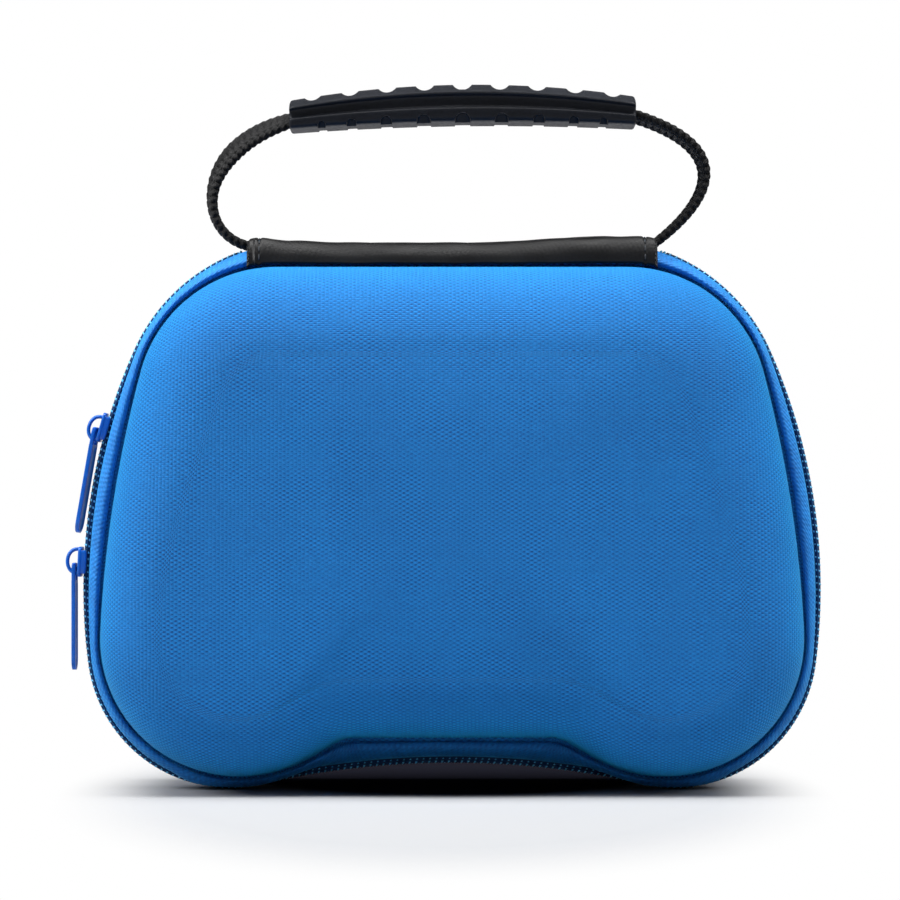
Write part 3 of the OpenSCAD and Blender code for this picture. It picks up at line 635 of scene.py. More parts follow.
def coil_mesh(name, side, phase):
    """Teeth set round the rim: tooth = place + out x normal + along x tangent, at its depth from the zip plane."""
    place, out, along = rim_places(tooth_pitch, phase)
    shape, body, tips = tooth_shape(5, 8)
    flank = np.arctan2(place[:, 1] - rim_side[1], -place[:, 0] - rim_side[0])
    left = place[:, 0] < 0
    apart = left & (flank > lower_at + 0.01) & (flank < upper_at - 0.01)
    travel = left & (flank > lower_at - lower_travel) & (flank < upper_at + upper_travel)
    near = np.where(apart, 0.68, np.where(travel, post_half + 0.04, -0.5))[:, None]
    far = 1.9
    across = -0.80 + 0.78 * shape[None, :, 0]
    deep = near + (far - near) * (shape[None, :, 2] + 1) / 2
    slant = 0.36 * shape[None, :, 1] + 0.12 * (deep - 0.7) * side + 0.32 * (across + 0.8)
    flat = place[:, None] + out[:, None] * across[..., None] + along[:, None] * slant[..., None]
    points = np.stack([flat[..., 0] * mm + case_x, side * deep * mm, flat[..., 1] * mm], axis=-1)
    shift = (np.arange(len(place)) * len(shape))[:, None, None]
    faces = (body[None] + shift).reshape(-1, 4).tolist() + (tips[None] + shift).reshape(-1, 3).tolist()
    mesh = bpy.data.meshes.new(name)
    mesh.from_pydata(points.reshape(-1, 3).tolist(), [], faces)
    mesh.polygons.foreach_set("use_smooth", np.ones(len(mesh.polygons), bool))
    bm = bmesh.new()
    bm.from_mesh(mesh)
    bmesh.ops.recalc_face_normals(bm, faces=bm.faces)
    bm.to_mesh(mesh)
    bm.free()
    return mesh


def carrier_loops():
    """Carrier's section, held clear of the plane over the left flank, where the sliders' posts run."""
    outline = rim(0)
    flank = np.arctan2(outline[:, 1] - rim_side[1], -outline[:, 0] - rim_side[0])
    left = (outline[:, 0] < 0) & (flank > lower_at - lower_travel) & (flank < upper_at + upper_travel)
    near = np.where(left, 0.70, 0.12)
    return [
        (rim(0.3), near + 0.2), (rim(0.3), 1.45), (rim(0.5), 1.62), (rim(0.66), 1.70), (rim(0.70), 2.02),
        (rim(1.02), 2.02), (rim(1.06), 1.70), (rim(1.25), 1.62), (rim(2.0), 1.6), (rim(2.0), near),
    ]


def moulded(name, low, high, rough, grain, depth, coat=0.0, gloss=0.3):
    """Smooth plastic or rubber: two tones mixed by a fine noise, which also roughens the surface."""
    m = Finish(name)
    speck = m.noise(m.place(), grain, 3.0)
    haze = m.noise(m.place(), 60, 2.0)
    return m.finish(
        Base_Color=m.mix(m.remap(m.math("ADD", speck, haze), 0.6, 1.4, 0, 1), low, high),
        Roughness=m.remap(speck, 0.3, 0.7, rough - 0.06, rough + 0.08),
        Specular_IOR_Level=gloss,
        Coat_Weight=coat,
        Coat_Roughness=0.2,
        Normal=m.bump(speck, depth),
    )


# Pale teeth, partly painted highlight, on a dark carrier, partly painted shade between the teeth.
coil_nylon_and_highlight = moulded("coil_nylon_and_highlight", srgb(70, 166, 216), srgb(126, 210, 248), 0.30, 1500, 0.00002)
carrier_cord_and_shade = ribbed_tape("carrier_cord_and_shade", srgb(4, 30, 62), srgb(12, 66, 116), 0.5, 0.00008, 0.9, 0.1)
inside_band = slice(6 * fine, 70 * fine + 1)
for half, side, phase in (("front", -1, 0.5), ("rear", 1, 0.0)):
    coil = stand(f"{half}_coil_teeth", coil_mesh(f"{half}_coil_teeth", side, phase), coil_nylon_and_highlight)
    carrier = stand(
        f"{half}_coil_carrier",
        hoop_mesh(f"{half}_coil_carrier", carrier_loops(), side, 2, inside_band),
        carrier_cord_and_shade,
    )
    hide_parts(f"{half}_zip_coil")
    for piece in (coil, carrier):
        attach(piece, f"{half}_half")

# Zip sliders and pulls.
# Both are die-cast zinc, painted the blue of the cloth: a body that wraps the coils and a D-shaped loop.
# A thin tab hangs from each loop.
def box_form(centre, half, power, rows=10, cols=28):
    """Rounded box: the cosines and sines of a sphere's two angles, each raised to power, scaled to half."""
    def soft(v):
        return np.sign(v) * np.abs(v) ** power
    v = np.linspace(-up, up, rows + 2)[1:-1, None]
    u = np.linspace(0, 2 * math.pi, cols, endpoint=False)[None, :]
    ring = np.stack(np.broadcast_arrays(soft(np.cos(v)) * soft(np.cos(u)), soft(np.cos(v)) * soft(np.sin(u)),
                                        soft(np.sin(v))), axis=-1).reshape(-1, 3)
    points = np.concatenate([ring, [[0, 0, -1], [0, 0, 1]]]) * half + centre
    i = np.arange(cols)
    j = (i + 1) % cols
    last = (rows - 1) * cols
    tips = [np.stack([i, j, np.full(cols, rows * cols)], axis=1),
            np.stack([j + last, i + last, np.full(cols, rows * cols + 1)], axis=1)]
    return points, grid_faces(rows, cols, closed_cols=True).tolist() + np.concatenate(tips).tolist()


def loop_form(rise, reach, foot, middle, wire, width, steps=40, cols=12):
    """D-shaped loop: centre line (foot + reach cos(a)^0.7, middle + rise sin(a)); section wire thick, width wide."""
    a = np.linspace(-up, up, steps)
    line = np.stack([foot + reach * np.cos(a) ** 0.7, np.zeros(steps), middle + rise * np.sin(a)], axis=1)
    run_on = np.gradient(line, axis=0)
    run_on /= np.linalg.norm(run_on, axis=1)[:, None]
    out = np.stack([run_on[:, 2], np.zeros(steps), -run_on[:, 0]], axis=1)
    u = np.linspace(0, 2 * math.pi, cols, endpoint=False)
    points = line[:, None] + out[:, None] * (wire / 2 * np.cos(u))[None, :, None]
    points[..., 1] += width / 2 * np.sin(u)
    faces = grid_faces(steps, cols, closed_cols=True).tolist()
    return points.reshape(-1, 3), faces + [list(range(cols)), list(range((steps - 1) * cols, steps * cols))]


def on_flank(points, angle):
    """Turns (out, across, up the zip) into place on the left flank, angle up its circle from the level of its centre."""
    s, y, z = points[:, 0] + side_r, points[:, 1], points[:, 2]
    x = -rim_side[0] - s * math.cos(angle) + z * math.sin(angle)
    return np.stack([x * mm + case_x, y * mm, (rim_side[1] + s * math.sin(angle) + z * math.cos(angle)) * mm], axis=1)


def joined_mesh(name, forms, angle):
    """One mesh of several closed forms, placed on the left flank."""
    count = np.cumsum([0] + [len(p) for p, _ in forms])
    faces = [[corner + start for corner in face] for (_, fs), start in zip(forms, count) for face in fs]
    mesh = bpy.data.meshes.new(name)
    mesh.from_pydata(on_flank(np.concatenate([p for p, _ in forms]), angle).tolist(), [], faces)
    bm = bmesh.new()
    bm.from_mesh(mesh)
    bmesh.ops.recalc_face_normals(bm, faces=bm.faces)
    for face in bm.faces:
        face.smooth = True
    bm.to_mesh(mesh)
    bm.free()
    mesh.set_sharp_from_angle(angle=math.radians(60))
    return mesh


def slider_forms(nose, middle):
    """Outer plate, its two lips over the coils, inner plate, post and loop; nose is the wedge's direction."""
    return [
        box_form((0.72, 0, 0), (0.47, 4.1, 3.6), 0.28),
        box_form((0.95, 0, nose * 0.3), (0.40, 2.3, 2.6), 0.45),
        box_form((0.10, -3.45, 0), (1.02, 0.55, 2.8), 0.35),
        box_form((0.10, 3.45, 0), (1.02, 0.55, 2.8), 0.35),
        box_form((-3.1, 0, 0), (0.4, 2.9, 3.1), 0.30),
        box_form((-1.2, 0, nose * 1.8), (2.0, post_half, 0.8), 0.30),
        loop_form(2.9, 3.0, 0.85, middle, 0.9, 1.5),
    ]


def tab_forms(length, half_width, lean, yaw):
    """Tab: a flat bar with a bead round its rim and a rounded end, hung by two legs from a pin.

    lean swings it out about the loop's pivot and yaw turns it about its own length, as it hangs loose."""
    pin_drop = 0.8
    a = np.linspace(0, math.pi, 25)
    edge = np.concatenate([
        [[-half_width, -3.7]], np.stack([-half_width * np.cos(a), half_width * (1 - np.sin(a)) - length], axis=1),
        [[half_width, -3.7]],
    ])
    inner = edge * [0.72, 1] + [0, 0]
    inner[:, 1] = np.clip(edge[:, 1] * 0.965 - 0.25, -length + 0.75, -4.4)
    rings = [(edge, 0.30), (edge * [0.98, 1], 0.46), (inner * [1.12, 1], 0.50), (inner, 0.36)]
    front = np.stack([np.stack([np.full(len(r), t), r[:, 0], r[:, 1]], axis=1) for r, t in rings])
    back = front[::-1] * [-1, 1, 1]
    grid = np.concatenate([front[::-1], back[::-1]])
    points = grid.reshape(-1, 3)
    n = len(edge)
    faces = grid_faces(len(grid), n, closed_cols=True).tolist()
    faces += [list(range(n)), list(range((len(grid) - 1) * n, len(grid) * n))]
    forms = [(points, faces)]
    for y in (-1, 1):
        forms.append(box_form((0, y * (half_width + 1.15) / 2, -2.1), (0.48, (half_width - 1.15) / 2, 2.3), 0.35, 6, 16))
    forms.append(box_form((0, 0, 0), (0.5, half_width, 0.5), 0.6, 8, 16))
    turned = []
    for p, f in forms:
        p = np.stack([p[:, 0] * math.cos(yaw) - p[:, 1] * math.sin(yaw),
                      p[:, 0] * math.sin(yaw) + p[:, 1] * math.cos(yaw), p[:, 2] - pin_drop], axis=1)
        s = 2.15 + p[:, 0] * math.cos(lean) + p[:, 2] * math.sin(lean)
        turned.append((np.stack([s, p[:, 1], -p[:, 0] * math.sin(lean) + p[:, 2] * math.cos(lean)], axis=1), f))
    return turned


painted_zinc = moulded("painted_zinc", srgb(0, 78, 166), srgb(2, 96, 190), 0.34, 900, 0.000015, coat=0.12)
for place, angle, nose, middle, lean, yaw in (
    ("upper", upper_at, -1, -0.5, math.radians(6), math.radians(8)),
    ("lower", lower_at, 1, 0.1, lower_at, math.radians(2)),
):
    body_mesh = joined_mesh(f"{place}_slider_body", slider_forms(nose, middle), angle)
    tab_mesh = joined_mesh(f"{place}_pull_tab", tab_forms(25, 2.7, lean, yaw), angle)
    slider = stand(f"{place}_slider_body", body_mesh, painted_zinc)
    tab = stand(f"{place}_pull_tab", tab_mesh, painted_zinc)
    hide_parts(f"{place}_slider")
    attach(slider, f"{place}_slider")
    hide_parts(f"{place}_pull")
    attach(tab, f"{place}_pull")

# Hinge band.
# A strip of rubberised fabric is folded over the top and sewn to both halves; it is the case's hinge.
# Its ends are stitched down over the roots of the handle's webbing.
band_end = 48.5
seam_at = 45.6


def top_height(x, w):
    """Height over the floor at x, from the rim's edge (w = 0) to the dome's foot (w = 1)."""
    def drop(centre, r):
        return r - np.sqrt(r * r - np.maximum(0, np.abs(x) - centre) ** 2)
    edge = rim_top - drop(corner_at, corner_r)
    foot = rim_top - groove_top - drop(dome_corner[0], dome_corner_r)
    return edge + (foot - edge) * w


def lifted(x):
    """How far the webbing's roots lift the band: a short swell at its left end and a longer one towards the right."""
    left = 0.5 * ramp((-x - 26) / 12) + 1.9 * ramp((-x - 38) / 10)
    right = 1.5 * ramp((x - 4) / 34) + 1.1 * ramp((x - 38) / 10)
    return left + right


def band_grid(rows):
    """Section (y, share of the way to the dome's foot, share of the lift) carried along x; a groove marks each seam."""
    skin = [(9.1, 0.93, 0.1), (8.6, 0.62, 0.7), (7.4, 0.34, 1), (5.8, 0.16, 1), (2.6, 0.12, 1), (0, 0.11, 1)]
    under = [(8.4, 0.95, 0.1), (7.9, 0.70, 0.7), (6.8, 0.48, 1), (5.5, 0.28, 1), (2.6, 0.25, 1), (0, 0.24, 1)]
    flip_y = np.array([-1, 1, 1])
    outer = np.array([flip_y * p for p in skin] + [np.array(p) for p in skin[-2::-1]])
    inner = np.array([np.array(p) for p in under] + [flip_y * p for p in under[-2::-1]])
    outer, inner = through(outer, 6), through(inner, 3)
    x = np.sort(np.concatenate([np.linspace(-band_end, band_end, rows), np.linspace(seam_at - 1, seam_at + 1, 17),
                                np.linspace(-seam_at - 1, -seam_at + 1, 17)]))[:, None]
    grid = []
    for part, proud in ((outer, 1.0), (inner, 0.0)):
        y, w, share = part.T
        z = top_height(x, w) + share * lifted(x)
        seam = np.exp(-(((np.abs(x) - seam_at) / 0.38) ** 2))
        puff = 0.10 * np.sin(x * 0.41 + y * 0.9) * np.sin(x * 0.13 + 1.0)
        curl = 0.55 * ramp((np.abs(x) - band_end + 0.9) / 0.9) ** 2
        z = z + proud * (puff - 0.42 * seam - curl)
        grid.append(np.stack(np.broadcast_arrays(x, y, z), axis=-1))
    grid = np.concatenate(grid, axis=1)
    return grid, x[:, 0]


def placed(points):
    """Case millimetres to the row's metres."""
    return points * mm + np.array([case_x, 0, 0])


def tube_mesh(name, grid, uv=None, closed=False):
    """Tube of closed rings, one to a row of the grid, with both its ends capped."""
    faces = grid_faces(*grid.shape[:2], closed_cols=True)
    mesh = skin_mesh(name, placed(grid), faces, uv)
    cap_ends(mesh, grid.shape[1])
    return mesh


def coated_cloth(name, low, high):
    """Rubberised fabric: a satin film whose fine pebble and faint cross weave show in the bump."""
    m = Finish(name)
    x, y, z = m.axes(m.place())
    pebble = m.noise(m.place(), 1700, 3.0)
    cross = m.math("MULTIPLY", m.wave(x, 0.00055), m.wave(y, 0.00055))
    patch = m.noise(m.place(), 90, 3.0)
    tone = m.math("ADD", m.math("MULTIPLY", pebble, 0.5), m.math("MULTIPLY", patch, 0.5))
    height = m.math("ADD", pebble, m.math("MULTIPLY", cross, 0.25))
    return m.finish(
        Base_Color=m.mix(m.remap(tone, 0.35, 0.65, 0, 1), low, high),
        Roughness=m.remap(patch, 0.3, 0.7, 0.44, 0.56),
        Specular_IOR_Level=0.2,
        Sheen_Weight=0.06,
        Sheen_Roughness=0.3,
        Normal=m.bump(height, 0.00005),
    )


def stitch_row(name, starts, ends, thread, colour):
    """Row of stitches: each is a rounded bar of thickness thread from its start to its end."""
    shape, body, tips = tooth_shape(4, 6)
    axis = ends - starts
    half = np.linalg.norm(axis, axis=1)[:, None] / 2
    axis = axis / (2 * half)
    side_way = np.cross(axis, [0, 0, 1.0])
    side_way /= np.linalg.norm(side_way, axis=1)[:, None]
    lift_way = np.cross(side_way, axis)
    local = [f[:, None] * shape[None, :, k, None] for f, k in (
        (lift_way * thread / 2, 0), (side_way * thread / 2, 1), (axis * half, 2))]
    points = (starts + ends)[:, None] / 2 + sum(local)
    shift = (np.arange(len(starts)) * len(shape))[:, None, None]
    faces = (body[None] + shift).reshape(-1, 4).tolist() + (tips[None] + shift).reshape(-1, 3).tolist()
    mesh = bpy.data.meshes.new(name)
    mesh.from_pydata(placed(points).reshape(-1, 3).tolist(), [], faces)
    bm = bmesh.new()
    bm.from_mesh(mesh)
    bmesh.ops.recalc_face_normals(bm, faces=bm.faces)
    for face in bm.faces:
        face.smooth = True
    bm.to_mesh(mesh)
    bm.free()
    return stand(name, mesh, colour)


band_film = coated_cloth("band_film", srgb(6, 6, 7), srgb(14, 14, 15))
black_thread = ribbed_tape("black_thread", srgb(8, 8, 10), srgb(46, 46, 50), 0.3, 0.00003, 0.6, 0.2)
grid, stations = band_grid(150)
across = lengths(grid[len(grid) // 2])
uv = np.stack(np.broadcast_arrays(stations[:, None], across[None, :]), axis=-1)
band = stand("hinge_band_cloth", tube_mesh("hinge_band_cloth", grid, uv), band_film)
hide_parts("hinge_band")

pick = grid.shape[1] * 61 // 92
row = grid[:, :pick]
for end_sign, end_name in ((-1, "left"), (1, "right")):
    at = np.argmin(np.abs(stations - end_sign * seam_at))
    line = row[at] + [0, 0, 0.16]
    run_along = lengths(line * mm)
    marks = np.arange(1.2, run_along[-1] - 1.0, 2.1)
    ends = [np.stack([np.interp(marks + d, run_along, line[:, k]) for k in range(3)], axis=1) for d in (0, 1.45)]
    seam = stitch_row(f"{end_name}_band_seam", *ends, 0.42, black_thread)
    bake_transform(seam)
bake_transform(band)

# Hinge liner.
# A strip of the lining's cloth closes the gap between the halves inside, under the band.
liner_half, liner_y, liner_low, liner_t = 40.0, 3.1, 125.19, 0.8
u, v = np.meshgrid(np.linspace(-1, 1, 90), np.linspace(0, 2 * math.pi, 40, endpoint=False), indexing="ij")
flat_y = np.sign(np.cos(v)) * np.abs(np.cos(v)) ** 0.35 * liner_y
flat_z = liner_low + liner_t / 2 + np.sign(np.sin(v)) * np.abs(np.sin(v)) ** 0.35 * liner_t / 2
liner_uv = np.stack([u * liner_half, flat_y], axis=-1)
liner = stand("hinge_liner_cloth", tube_mesh("hinge_liner_cloth", np.stack([u * liner_half, flat_y, flat_z], axis=-1),
                                             liner_uv), lining_cloth)
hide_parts("hinge_liner")
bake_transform(liner)

# Handle webbing.
# One flat braided strap runs from under the band's left end, up through the grip and down to its right end.
strap_half_w, strap_half_t, braid_pitch = 4.0, 1.0, 1.75
grip_x, grip_tilt, grip_len = 2.4, 0.7, 82.0
grip_crest, grip_arc_r, strap_drop = 167.4, 256.0, 4.65


def strap_arc(x):
    """Centre line inside the grip: an arc about the grip's middle, tilted by grip_tilt per 57 mm."""
    r = grip_arc_r - strap_drop
    tilt = (x - grip_x) * math.sin(math.radians(grip_tilt))
    return np.stack([x, grip_crest - grip_arc_r + tilt + np.sqrt(r * r - (x - grip_x) ** 2)], axis=-1)


def bezier(p, n):
    """n points of the cubic with control points p, without its last."""
    u = np.linspace(0, 1, n, endpoint=False)[:, None]
    return (1 - u)**3 * p[0] + 3 * (1 - u)**2 * u * p[1] + 3 * (1 - u) * u * u * p[2] + u**3 * p[3]


def strap_line():
    """Root, left curve, arc through the grip, right curve, root, resampled to even steps of 0.15 mm."""
    left_mouth, right_mouth = strap_arc(np.array([grip_x - grip_len / 2, grip_x + grip_len / 2]))
    left = np.array([[-47, rim_top - 1.7], [-61.2, rim_top - 0.1], [-62.2, left_mouth[1] - 6.8], left_mouth])
    right = np.array([[47, rim_top - 1.7], [57, rim_top + 5.5], [72, right_mouth[1] - 8.9], right_mouth])
    middle = strap_arc(np.linspace(left_mouth[0], right_mouth[0], 120))
    rough_line = np.concatenate([
        [[-40, rim_top - 2.3]], bezier(left, 80), middle, bezier(right, 80)[::-1], [[40, rim_top - 2.3]],
    ])
    s = np.concatenate([[0.0], np.cumsum(np.linalg.norm(np.diff(rough_line, axis=0), axis=1))])
    even = np.arange(0, s[-1], 0.16)
    return np.stack([np.interp(even, s, rough_line[:, k]) for k in (0, 1)], axis=1), even


def strap_grid():
    """Flat rounded section turned slightly about the line, with a braid standing proud of it.

    The braid's height is |sin| of (distance along plus or minus distance across) over the pitch: a row of chevrons
    on each face, whose ends serrate the edges."""
    line, s = strap_line()
    ahead = np.gradient(line, axis=0)
    ahead /= np.linalg.norm(ahead, axis=1)[:, None]
    out = np.stack([-ahead[:, 1], ahead[:, 0]], axis=1)
    a = np.linspace(0, 2 * math.pi, 56, endpoint=False)
    y = np.sign(np.cos(a)) * np.abs(np.cos(a)) ** 0.45
    t = np.sign(np.sin(a)) * np.abs(np.sin(a)) ** 0.55
    lane = np.abs(((y * strap_half_w / 3.05 + 4.5) % 1) - 0.5) * 3.05
    chevron = np.abs(np.sin(math.pi * (s[:, None] + 1.15 * lane[None, :] + 0.65 * (a > math.pi)[None, :]) / braid_pitch))
    groove = np.exp(-((lane / 0.16) ** 2)) + np.exp(-(((lane - 1.525) / 0.16) ** 2))
    proud = 0.60 * (chevron**0.7 - 0.70) - 0.22 * groove[None, :]
    edge = np.abs(y) ** 4
    serrate = 0.55 * (np.abs(np.sin(math.pi * s / braid_pitch)) - 0.5)[:, None] * edge[None, :] * np.sign(y)[None, :]
    far = np.abs(s - s[-1] / 2)
    past = np.where(far < 55, (far - 55) / 26, (far - 55) / 14)
    turn = np.where(s < s[-1] / 2, 30 * np.exp(-(past**2)), -9 * ramp((96 - far) / 40))
    twist = np.radians(turn) * ramp((far - 34) / 6)
    flat_y = y[None, :] * strap_half_w * 0.97 + serrate
    flat_t = t[None, :] * (strap_half_t - 0.05) + np.sign(t)[None, :] * proud * np.abs(t)[None, :] ** 0.5
    cos, sin = np.cos(twist)[:, None], np.sin(twist)[:, None]
    turned_y, turned_t = flat_y * cos - flat_t * sin, flat_y * sin + flat_t * cos
    xz = line[:, None] + out[:, None] * turned_t[..., None]
    grid = np.stack([xz[..., 0], turned_y, xz[..., 1]], axis=-1)
    uv = np.stack(np.broadcast_arrays(s[:, None], y[None, :] * strap_half_w), axis=-1)
    return grid, uv


def braid_thread(name, low, high):
    """Braided polyester: filaments at a slant along each strand, on millimetres along and across."""
    m = Finish(name)
    u, v, _ = m.axes(m.cloth())
    strand = m.wave(m.math("ADD", u, m.math("MULTIPLY", m.math("ABSOLUTE", v), 1.1)), 0.14)
    fibre = m.noise(m.place(), 3000)
    tone = m.math("ADD", m.math("MULTIPLY", strand, 0.2), fibre, clamp=True)
    return m.finish(
        Base_Color=m.mix(tone, low, high),
        Roughness=0.62,
        Specular_IOR_Level=0.18,
        Sheen_Weight=0.05,
        Sheen_Roughness=0.35,
        Normal=m.bump(m.math("ADD", m.math("MULTIPLY", strand, 0.5), fibre), 0.00007),
    )


webbing = braid_thread("webbing", srgb(1, 1, 2), srgb(8, 8, 10))
grid, uv = strap_grid()
strap = stand("handle_webbing", tube_mesh("handle_webbing", grid, uv), webbing)
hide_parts("handle_strap")
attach(strap, "rear_half")

# Handle grip.
# A moulded rubber sleeve sits on the webbing, with a crowned cap, a waist and a lower lip.
# Finger notches cross it above and below.
grip_half_w, crown_rise, grip_low_r, grip_deep = 8.5, 2.4, 647.0, 9.3
dent_count, dent_step, dent_r = 9, 8.9, 2.7


def grip_section():
    """Closed section (y, share of the way down, height): crown arc, cap edge, waist, lower lip, flat underside."""
    crown_r = (grip_half_w**2 + crown_rise**2) / (2 * crown_rise)
    y = np.linspace(0, grip_half_w - 0.25, 18)
    crown_arc = np.stack([y, -(crown_r - np.sqrt(crown_r**2 - y**2))], axis=1)
    side = through([(8.42, -2.35), (8.5, -2.75), (8.1, -3.05), (7.65, -3.4), (7.5, -4.4), (7.6, -5.5), (8.0, -5.95),
                    (8.35, -6.3), (8.4, -7.2), (8.2, -8.3), (7.5, -9.05), (6.4, -9.3)], 4)
    bottom = np.stack([np.linspace(6.1, 0, 14), np.full(14, -grip_deep)], axis=1)
    half = np.concatenate([crown_arc, side, bottom])
    return np.concatenate([half, half[-2:0:-1] * [-1, 1]])


def grip_grid(rows):
    """Section bent along two arcs, its top's and its underside's, less a cylinder's depth at each notch."""
    section = grip_section()
    x = np.linspace(-grip_len / 2, grip_len / 2, rows)[:, None]
    top_drop = grip_arc_r - np.sqrt(grip_arc_r**2 - x**2)
    low_drop = grip_low_r - np.sqrt(grip_low_r**2 - x**2)
    y, h = section.T
    share = np.clip((-h - crown_rise) / (grip_deep - crown_rise), 0, 1)
    which = np.round(x / dent_step)
    offset = x - which * dent_step
    shrink = 1 - 0.4 * np.abs(which * dent_step) / (grip_len / 2)
    chord = np.sqrt(np.maximum(0, dent_r**2 - offset**2))
    dent = np.maximum(0, chord - (dent_r - 1.2 * shrink)) * ramp((7.4 - np.abs(y)) / 1.6)
    rank = np.arange(-4, 5)
    ends = np.abs(rank) / 4
    gap = np.abs(x - (9.3 * rank - 0.06 * rank**3)[None, :])
    hole_r = 1.75 - 0.85 * ends
    hole = np.where(gap < hole_r, np.sqrt(np.maximum(0, hole_r**2 - gap**2)) - hole_r + 2.1 - 0.6 * ends, 0).max(axis=1)
    cut = np.maximum(h, hole[:, None] * ramp((np.abs(y) - 3.6) / 1.2) - grip_deep)
    z = cut - top_drop * (1 - share) - low_drop * share - dent * (h > -2.3)
    end = np.sqrt(np.clip(1 - ((np.abs(x) - grip_len / 2 + 0.7) / 0.7).clip(0, 1) ** 2, 0, 1))
    pull_in = 0.55 * (1 - end)
    middle = -4.6 - top_drop
    y = y[None, :] * (1 - pull_in / grip_half_w)
    z = middle + (z - middle) * (1 - pull_in / 4.6)
    a = math.radians(grip_tilt)
    turned_x = x * math.cos(a) - z * math.sin(a)
    turned_z = x * math.sin(a) + z * math.cos(a)
    return np.stack(np.broadcast_arrays(grip_x + turned_x, y, grip_crest + turned_z), axis=-1)


grip_rubber = moulded("grip_rubber", srgb(9, 11, 16), srgb(21, 24, 31), 0.46, 1300, 0.00003, gloss=0.16)
grip = stand("handle_grip_sleeve", tube_mesh("handle_grip_sleeve", grip_grid(420)), grip_rubber)
grip.data.set_sharp_from_angle(angle=math.radians(40))
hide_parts("handle_grip")
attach(grip, "rear_half")

# Mesh pocket.
# A net of knitted nylon is stretched across the lower part of the lid, with an elastic tape bound along its mouth.
# Its edge is caught under the binding.
pocket_mouth, mouth_r, mouth_sag, net_y = 72.0, 420.0, 5.0, -8.3
net_pitch, net_thread = 1.7, 0.52


def mouth_height(x):
    """Height of the sagging mouth: an arc of radius mouth_r whose lowest point is mouth_sag under its ends' line."""
    return pocket_mouth + mouth_r - mouth_sag - np.sqrt(mouth_r**2 - np.asarray(x) ** 2)


def inside(points, outline):
    """True where a ray from the point towards +X crosses the outline an odd number of times."""
    x, z = points[:, :1], points[:, 1:]
    ax, az = outline[:, 0], outline[:, 1]
    bx, bz = np.roll(ax, -1), np.roll(az, -1)
    spans = (az > z) != (bz > z)
    cross = ax + (z - az) * (bx - ax) / np.where(bz == az, 1, bz - az)
    return (np.count_nonzero(spans & (x < cross), axis=1) % 2).astype(bool)


def net_threads(slope, weave_shift):
    """Slanted threads a pitch apart: each runs along its slope as far as it is inside the pocket's outline."""
    outline = dome(wall + 0.5, 3)
    direction = np.array([math.cos(slope), math.sin(slope)])
    normal = np.array([-direction[1], direction[0]])
    threads = []
    for offset in np.arange(-110, 110, net_pitch):
        s = np.arange(-130, 130, 1.0)
        line = normal * offset + direction * s[:, None] + [0, 40]
        keep = inside(line, outline) & (line[:, 1] < mouth_height(line[:, 0]) - 0.3)
        edges = np.flatnonzero(np.diff(np.concatenate([[0], keep.astype(np.int8), [0]])))
        for first, last in edges.reshape(-1, 2):
            if last - first > 3:
                part = line[first:last]
                deep = net_y + 0.14 * np.cos(math.pi * s[first:last] / net_pitch + weave_shift)
                threads.append((part, deep, normal))
    return threads


def net_mesh(name):
    """Each thread is a tube of five sides about its line."""
    a = np.linspace(0, 2 * math.pi, 6, endpoint=False)
    r = net_thread / 2
    points, faces, count = [], [], 0
    for part, deep, normal in net_threads(math.radians(52), 0.0) + net_threads(math.radians(-52), math.pi):
        flat = part[:, None] + normal * (r * np.cos(a))[None, :, None]
        y = deep[:, None] + (r * 0.7 * np.sin(a))[None, :]
        points.append(np.stack([flat[..., 0], y, flat[..., 1]], axis=-1).reshape(-1, 3))
        rows = len(part)
        faces += grid_faces(rows, 6, closed_cols=True, first=count).tolist()
        faces += [[count + k for k in range(6)], [count + (rows - 1) * 6 + k for k in range(6)]]
        count += rows * 6
    mesh = bpy.data.meshes.new(name)
    mesh.from_pydata(placed(np.concatenate(points)).tolist(), [], faces)
    bm = bmesh.new()
    bm.from_mesh(mesh)
    bmesh.ops.recalc_face_normals(bm, faces=bm.faces)
    for face in bm.faces:
        face.smooth = len(face.verts) == 4
    bm.to_mesh(mesh)
    bm.free()
    return mesh


net_nylon = moulded("net_nylon", srgb(14, 15, 18), srgb(40, 43, 50), 0.5, 900, 0.00002)
net = stand("mesh_pocket_net", net_mesh("mesh_pocket_net"), net_nylon)
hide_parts("mesh_pocket")
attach(net, "front_half")

# Pocket hem: folded elastic, gathered as it was sewn, so that it ripples.
hem_low, hem_high = 0.0, 4.0
hem_reach = 76.5
x = np.linspace(-hem_reach, hem_reach, 420)
a = np.linspace(0, 2 * math.pi, 28, endpoint=False)
across_y = np.sign(np.cos(a)) * np.abs(np.cos(a)) ** 0.5
across_z = np.sign(np.sin(a)) * np.abs(np.sin(a)) ** 0.3
low_at = mouth_height(x) - hem_high
ripple = 0.10 * np.sin(2 * math.pi * x / 1.9)[:, None] * (0.6 + 0.4 * np.cos(1.5 * across_z))[None, :]
hem_y = -7.3 + across_y[None, :] * 0.28 + ripple
hem_z = low_at[:, None] + hem_high / 2 + across_z[None, :] * hem_high / 2
hem_grid = np.stack(np.broadcast_arrays(x[:, None], hem_y, hem_z), axis=-1)
hem_uv = np.stack(np.broadcast_arrays(x[:, None], across_z[None, :] * 2.0), axis=-1)
hem_cloth = ribbed_tape("hem_cloth", srgb(8, 8, 10), srgb(40, 41, 45), 0.5, 0.00010, 0.8, 0.2)
hem = stand("pocket_hem_elastic", tube_mesh("pocket_hem_elastic", hem_grid, hem_uv), hem_cloth)
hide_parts("pocket_hem")
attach(hem, "front_half")

# Elastic straps and their closure.
# Two woven elastic straps are caught under the rear binding; a hook patch closes on a loop patch in the middle.
strap_reach, strap_middle, strap_wide, strap_thick = 74.76, 62.0, 25.0, 1.1


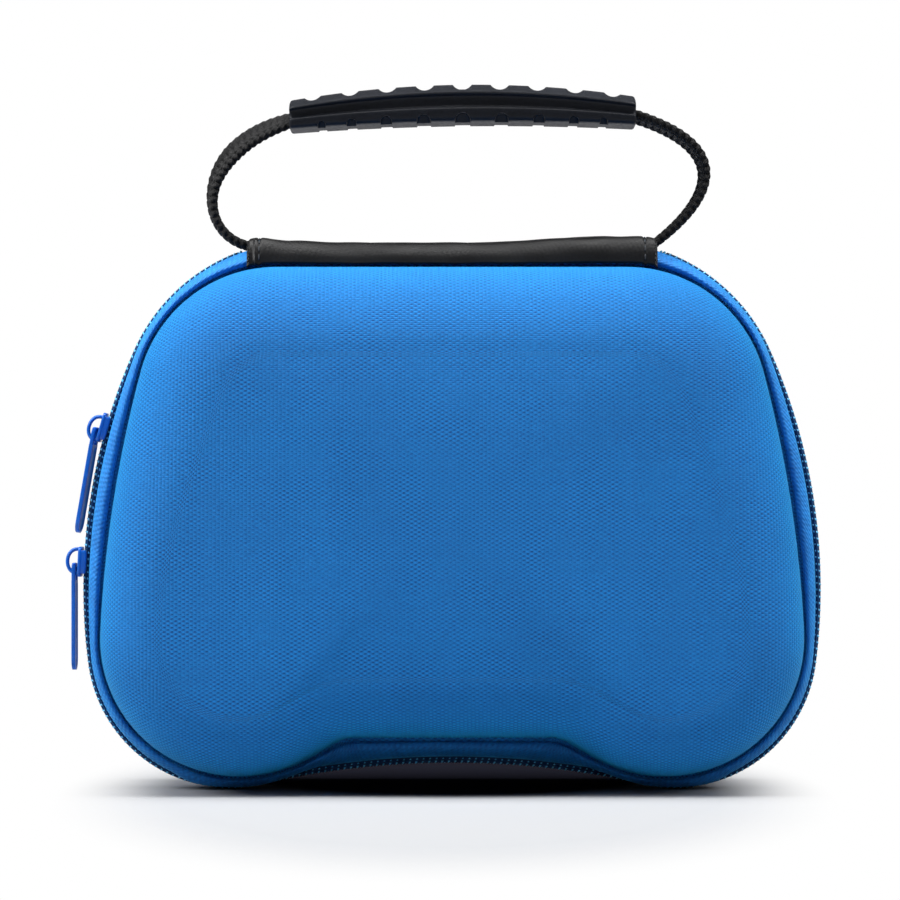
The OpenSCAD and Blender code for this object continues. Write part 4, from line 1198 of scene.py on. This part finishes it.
def strip_mesh(name, x0, x1, y0, y1, z0, z1, steps, rib, proud):
    """Flat strip along x: a rounded section whose faces rise and fall by proud with a wave of pitch rib along x."""
    a = np.linspace(0, 2 * math.pi, 64, endpoint=False)
    y = np.sign(np.cos(a)) * np.abs(np.cos(a)) ** 0.35
    z = np.sign(np.sin(a)) * np.abs(np.sin(a)) ** 0.16
    x = np.linspace(x0, x1, steps)
    face = (y1 - y0) / 2 - proud * (0.5 + 0.5 * np.cos(2 * math.pi * x / rib))
    grid = np.stack(np.broadcast_arrays(
        x[:, None], (y0 + y1) / 2 + y[None, :] * face[:, None], (z0 + z1) / 2 + z[None, :] * (z1 - z0) / 2), axis=-1)
    uv = np.stack(np.broadcast_arrays(x[:, None], z[None, :] * (z1 - z0) / 2), axis=-1)
    return tube_mesh(name, grid, uv)


def pile(name, low, high, grain, depth):
    """Brushed pile: clumps of fibre as two noises, one along each loop and one across."""
    m = Finish(name)
    clump = m.noise(m.place(), grain, 4.0)
    fibre = m.noise(m.place(), grain * 4, 2.0)
    tone = m.math("ADD", m.math("MULTIPLY", clump, 0.8), m.math("MULTIPLY", fibre, 0.4))
    return m.finish(
        Base_Color=m.mix(m.remap(tone, 0.4, 0.8, 0, 1), low, high),
        Roughness=0.92,
        Sheen_Weight=0.5,
        Sheen_Roughness=0.5,
        Normal=m.bump(tone, depth),
    )


elastic_web = ribbed_tape("elastic_web", srgb(8, 8, 10), srgb(44, 45, 50), 0.62, 0.00012, 0.8, 0.25)
loop_pile = pile("loop_pile", srgb(10, 10, 12), srgb(50, 50, 54), 900, 0.0004)
hook_pile = pile("hook_pile", srgb(8, 8, 9), srgb(58, 58, 62), 1800, 0.0005)
half_wide = strap_wide / 2
low, high = strap_middle - half_wide, strap_middle + half_wide
strips = (
    ("left_elastic", "left_elastic_web", (-strap_reach, 14, 8.6, 9.7, low, high), elastic_web, "elastic", 460, 0.07),
    ("right_elastic", "right_elastic_web", (-14, strap_reach, 4.9, 6.0, low, high), elastic_web, "elastic", 460, 0.07),
    ("loop_patch", "loop_patch_pile", (-14, 14, 7.4, 8.4, low + 1, high - 1), loop_pile, "hook_loop", 90, 0.05),
    ("hook_patch", "hook_patch_pile", (-14, 14, 6.2, 7.2, low + 1, high - 1), hook_pile, "hook_loop", 90, 0.05),
)
for node_name, name, (x0, x1, y0, y1, z0, z1), finish, slot_name, steps, proud in strips:
    strip = stand(name, strip_mesh(name, x0, x1, y0, y1, z0, z1, steps, 1.24, proud), finish)
    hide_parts(node_name)
    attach(strip, "rear_half")

bpy.context.view_layer.update()
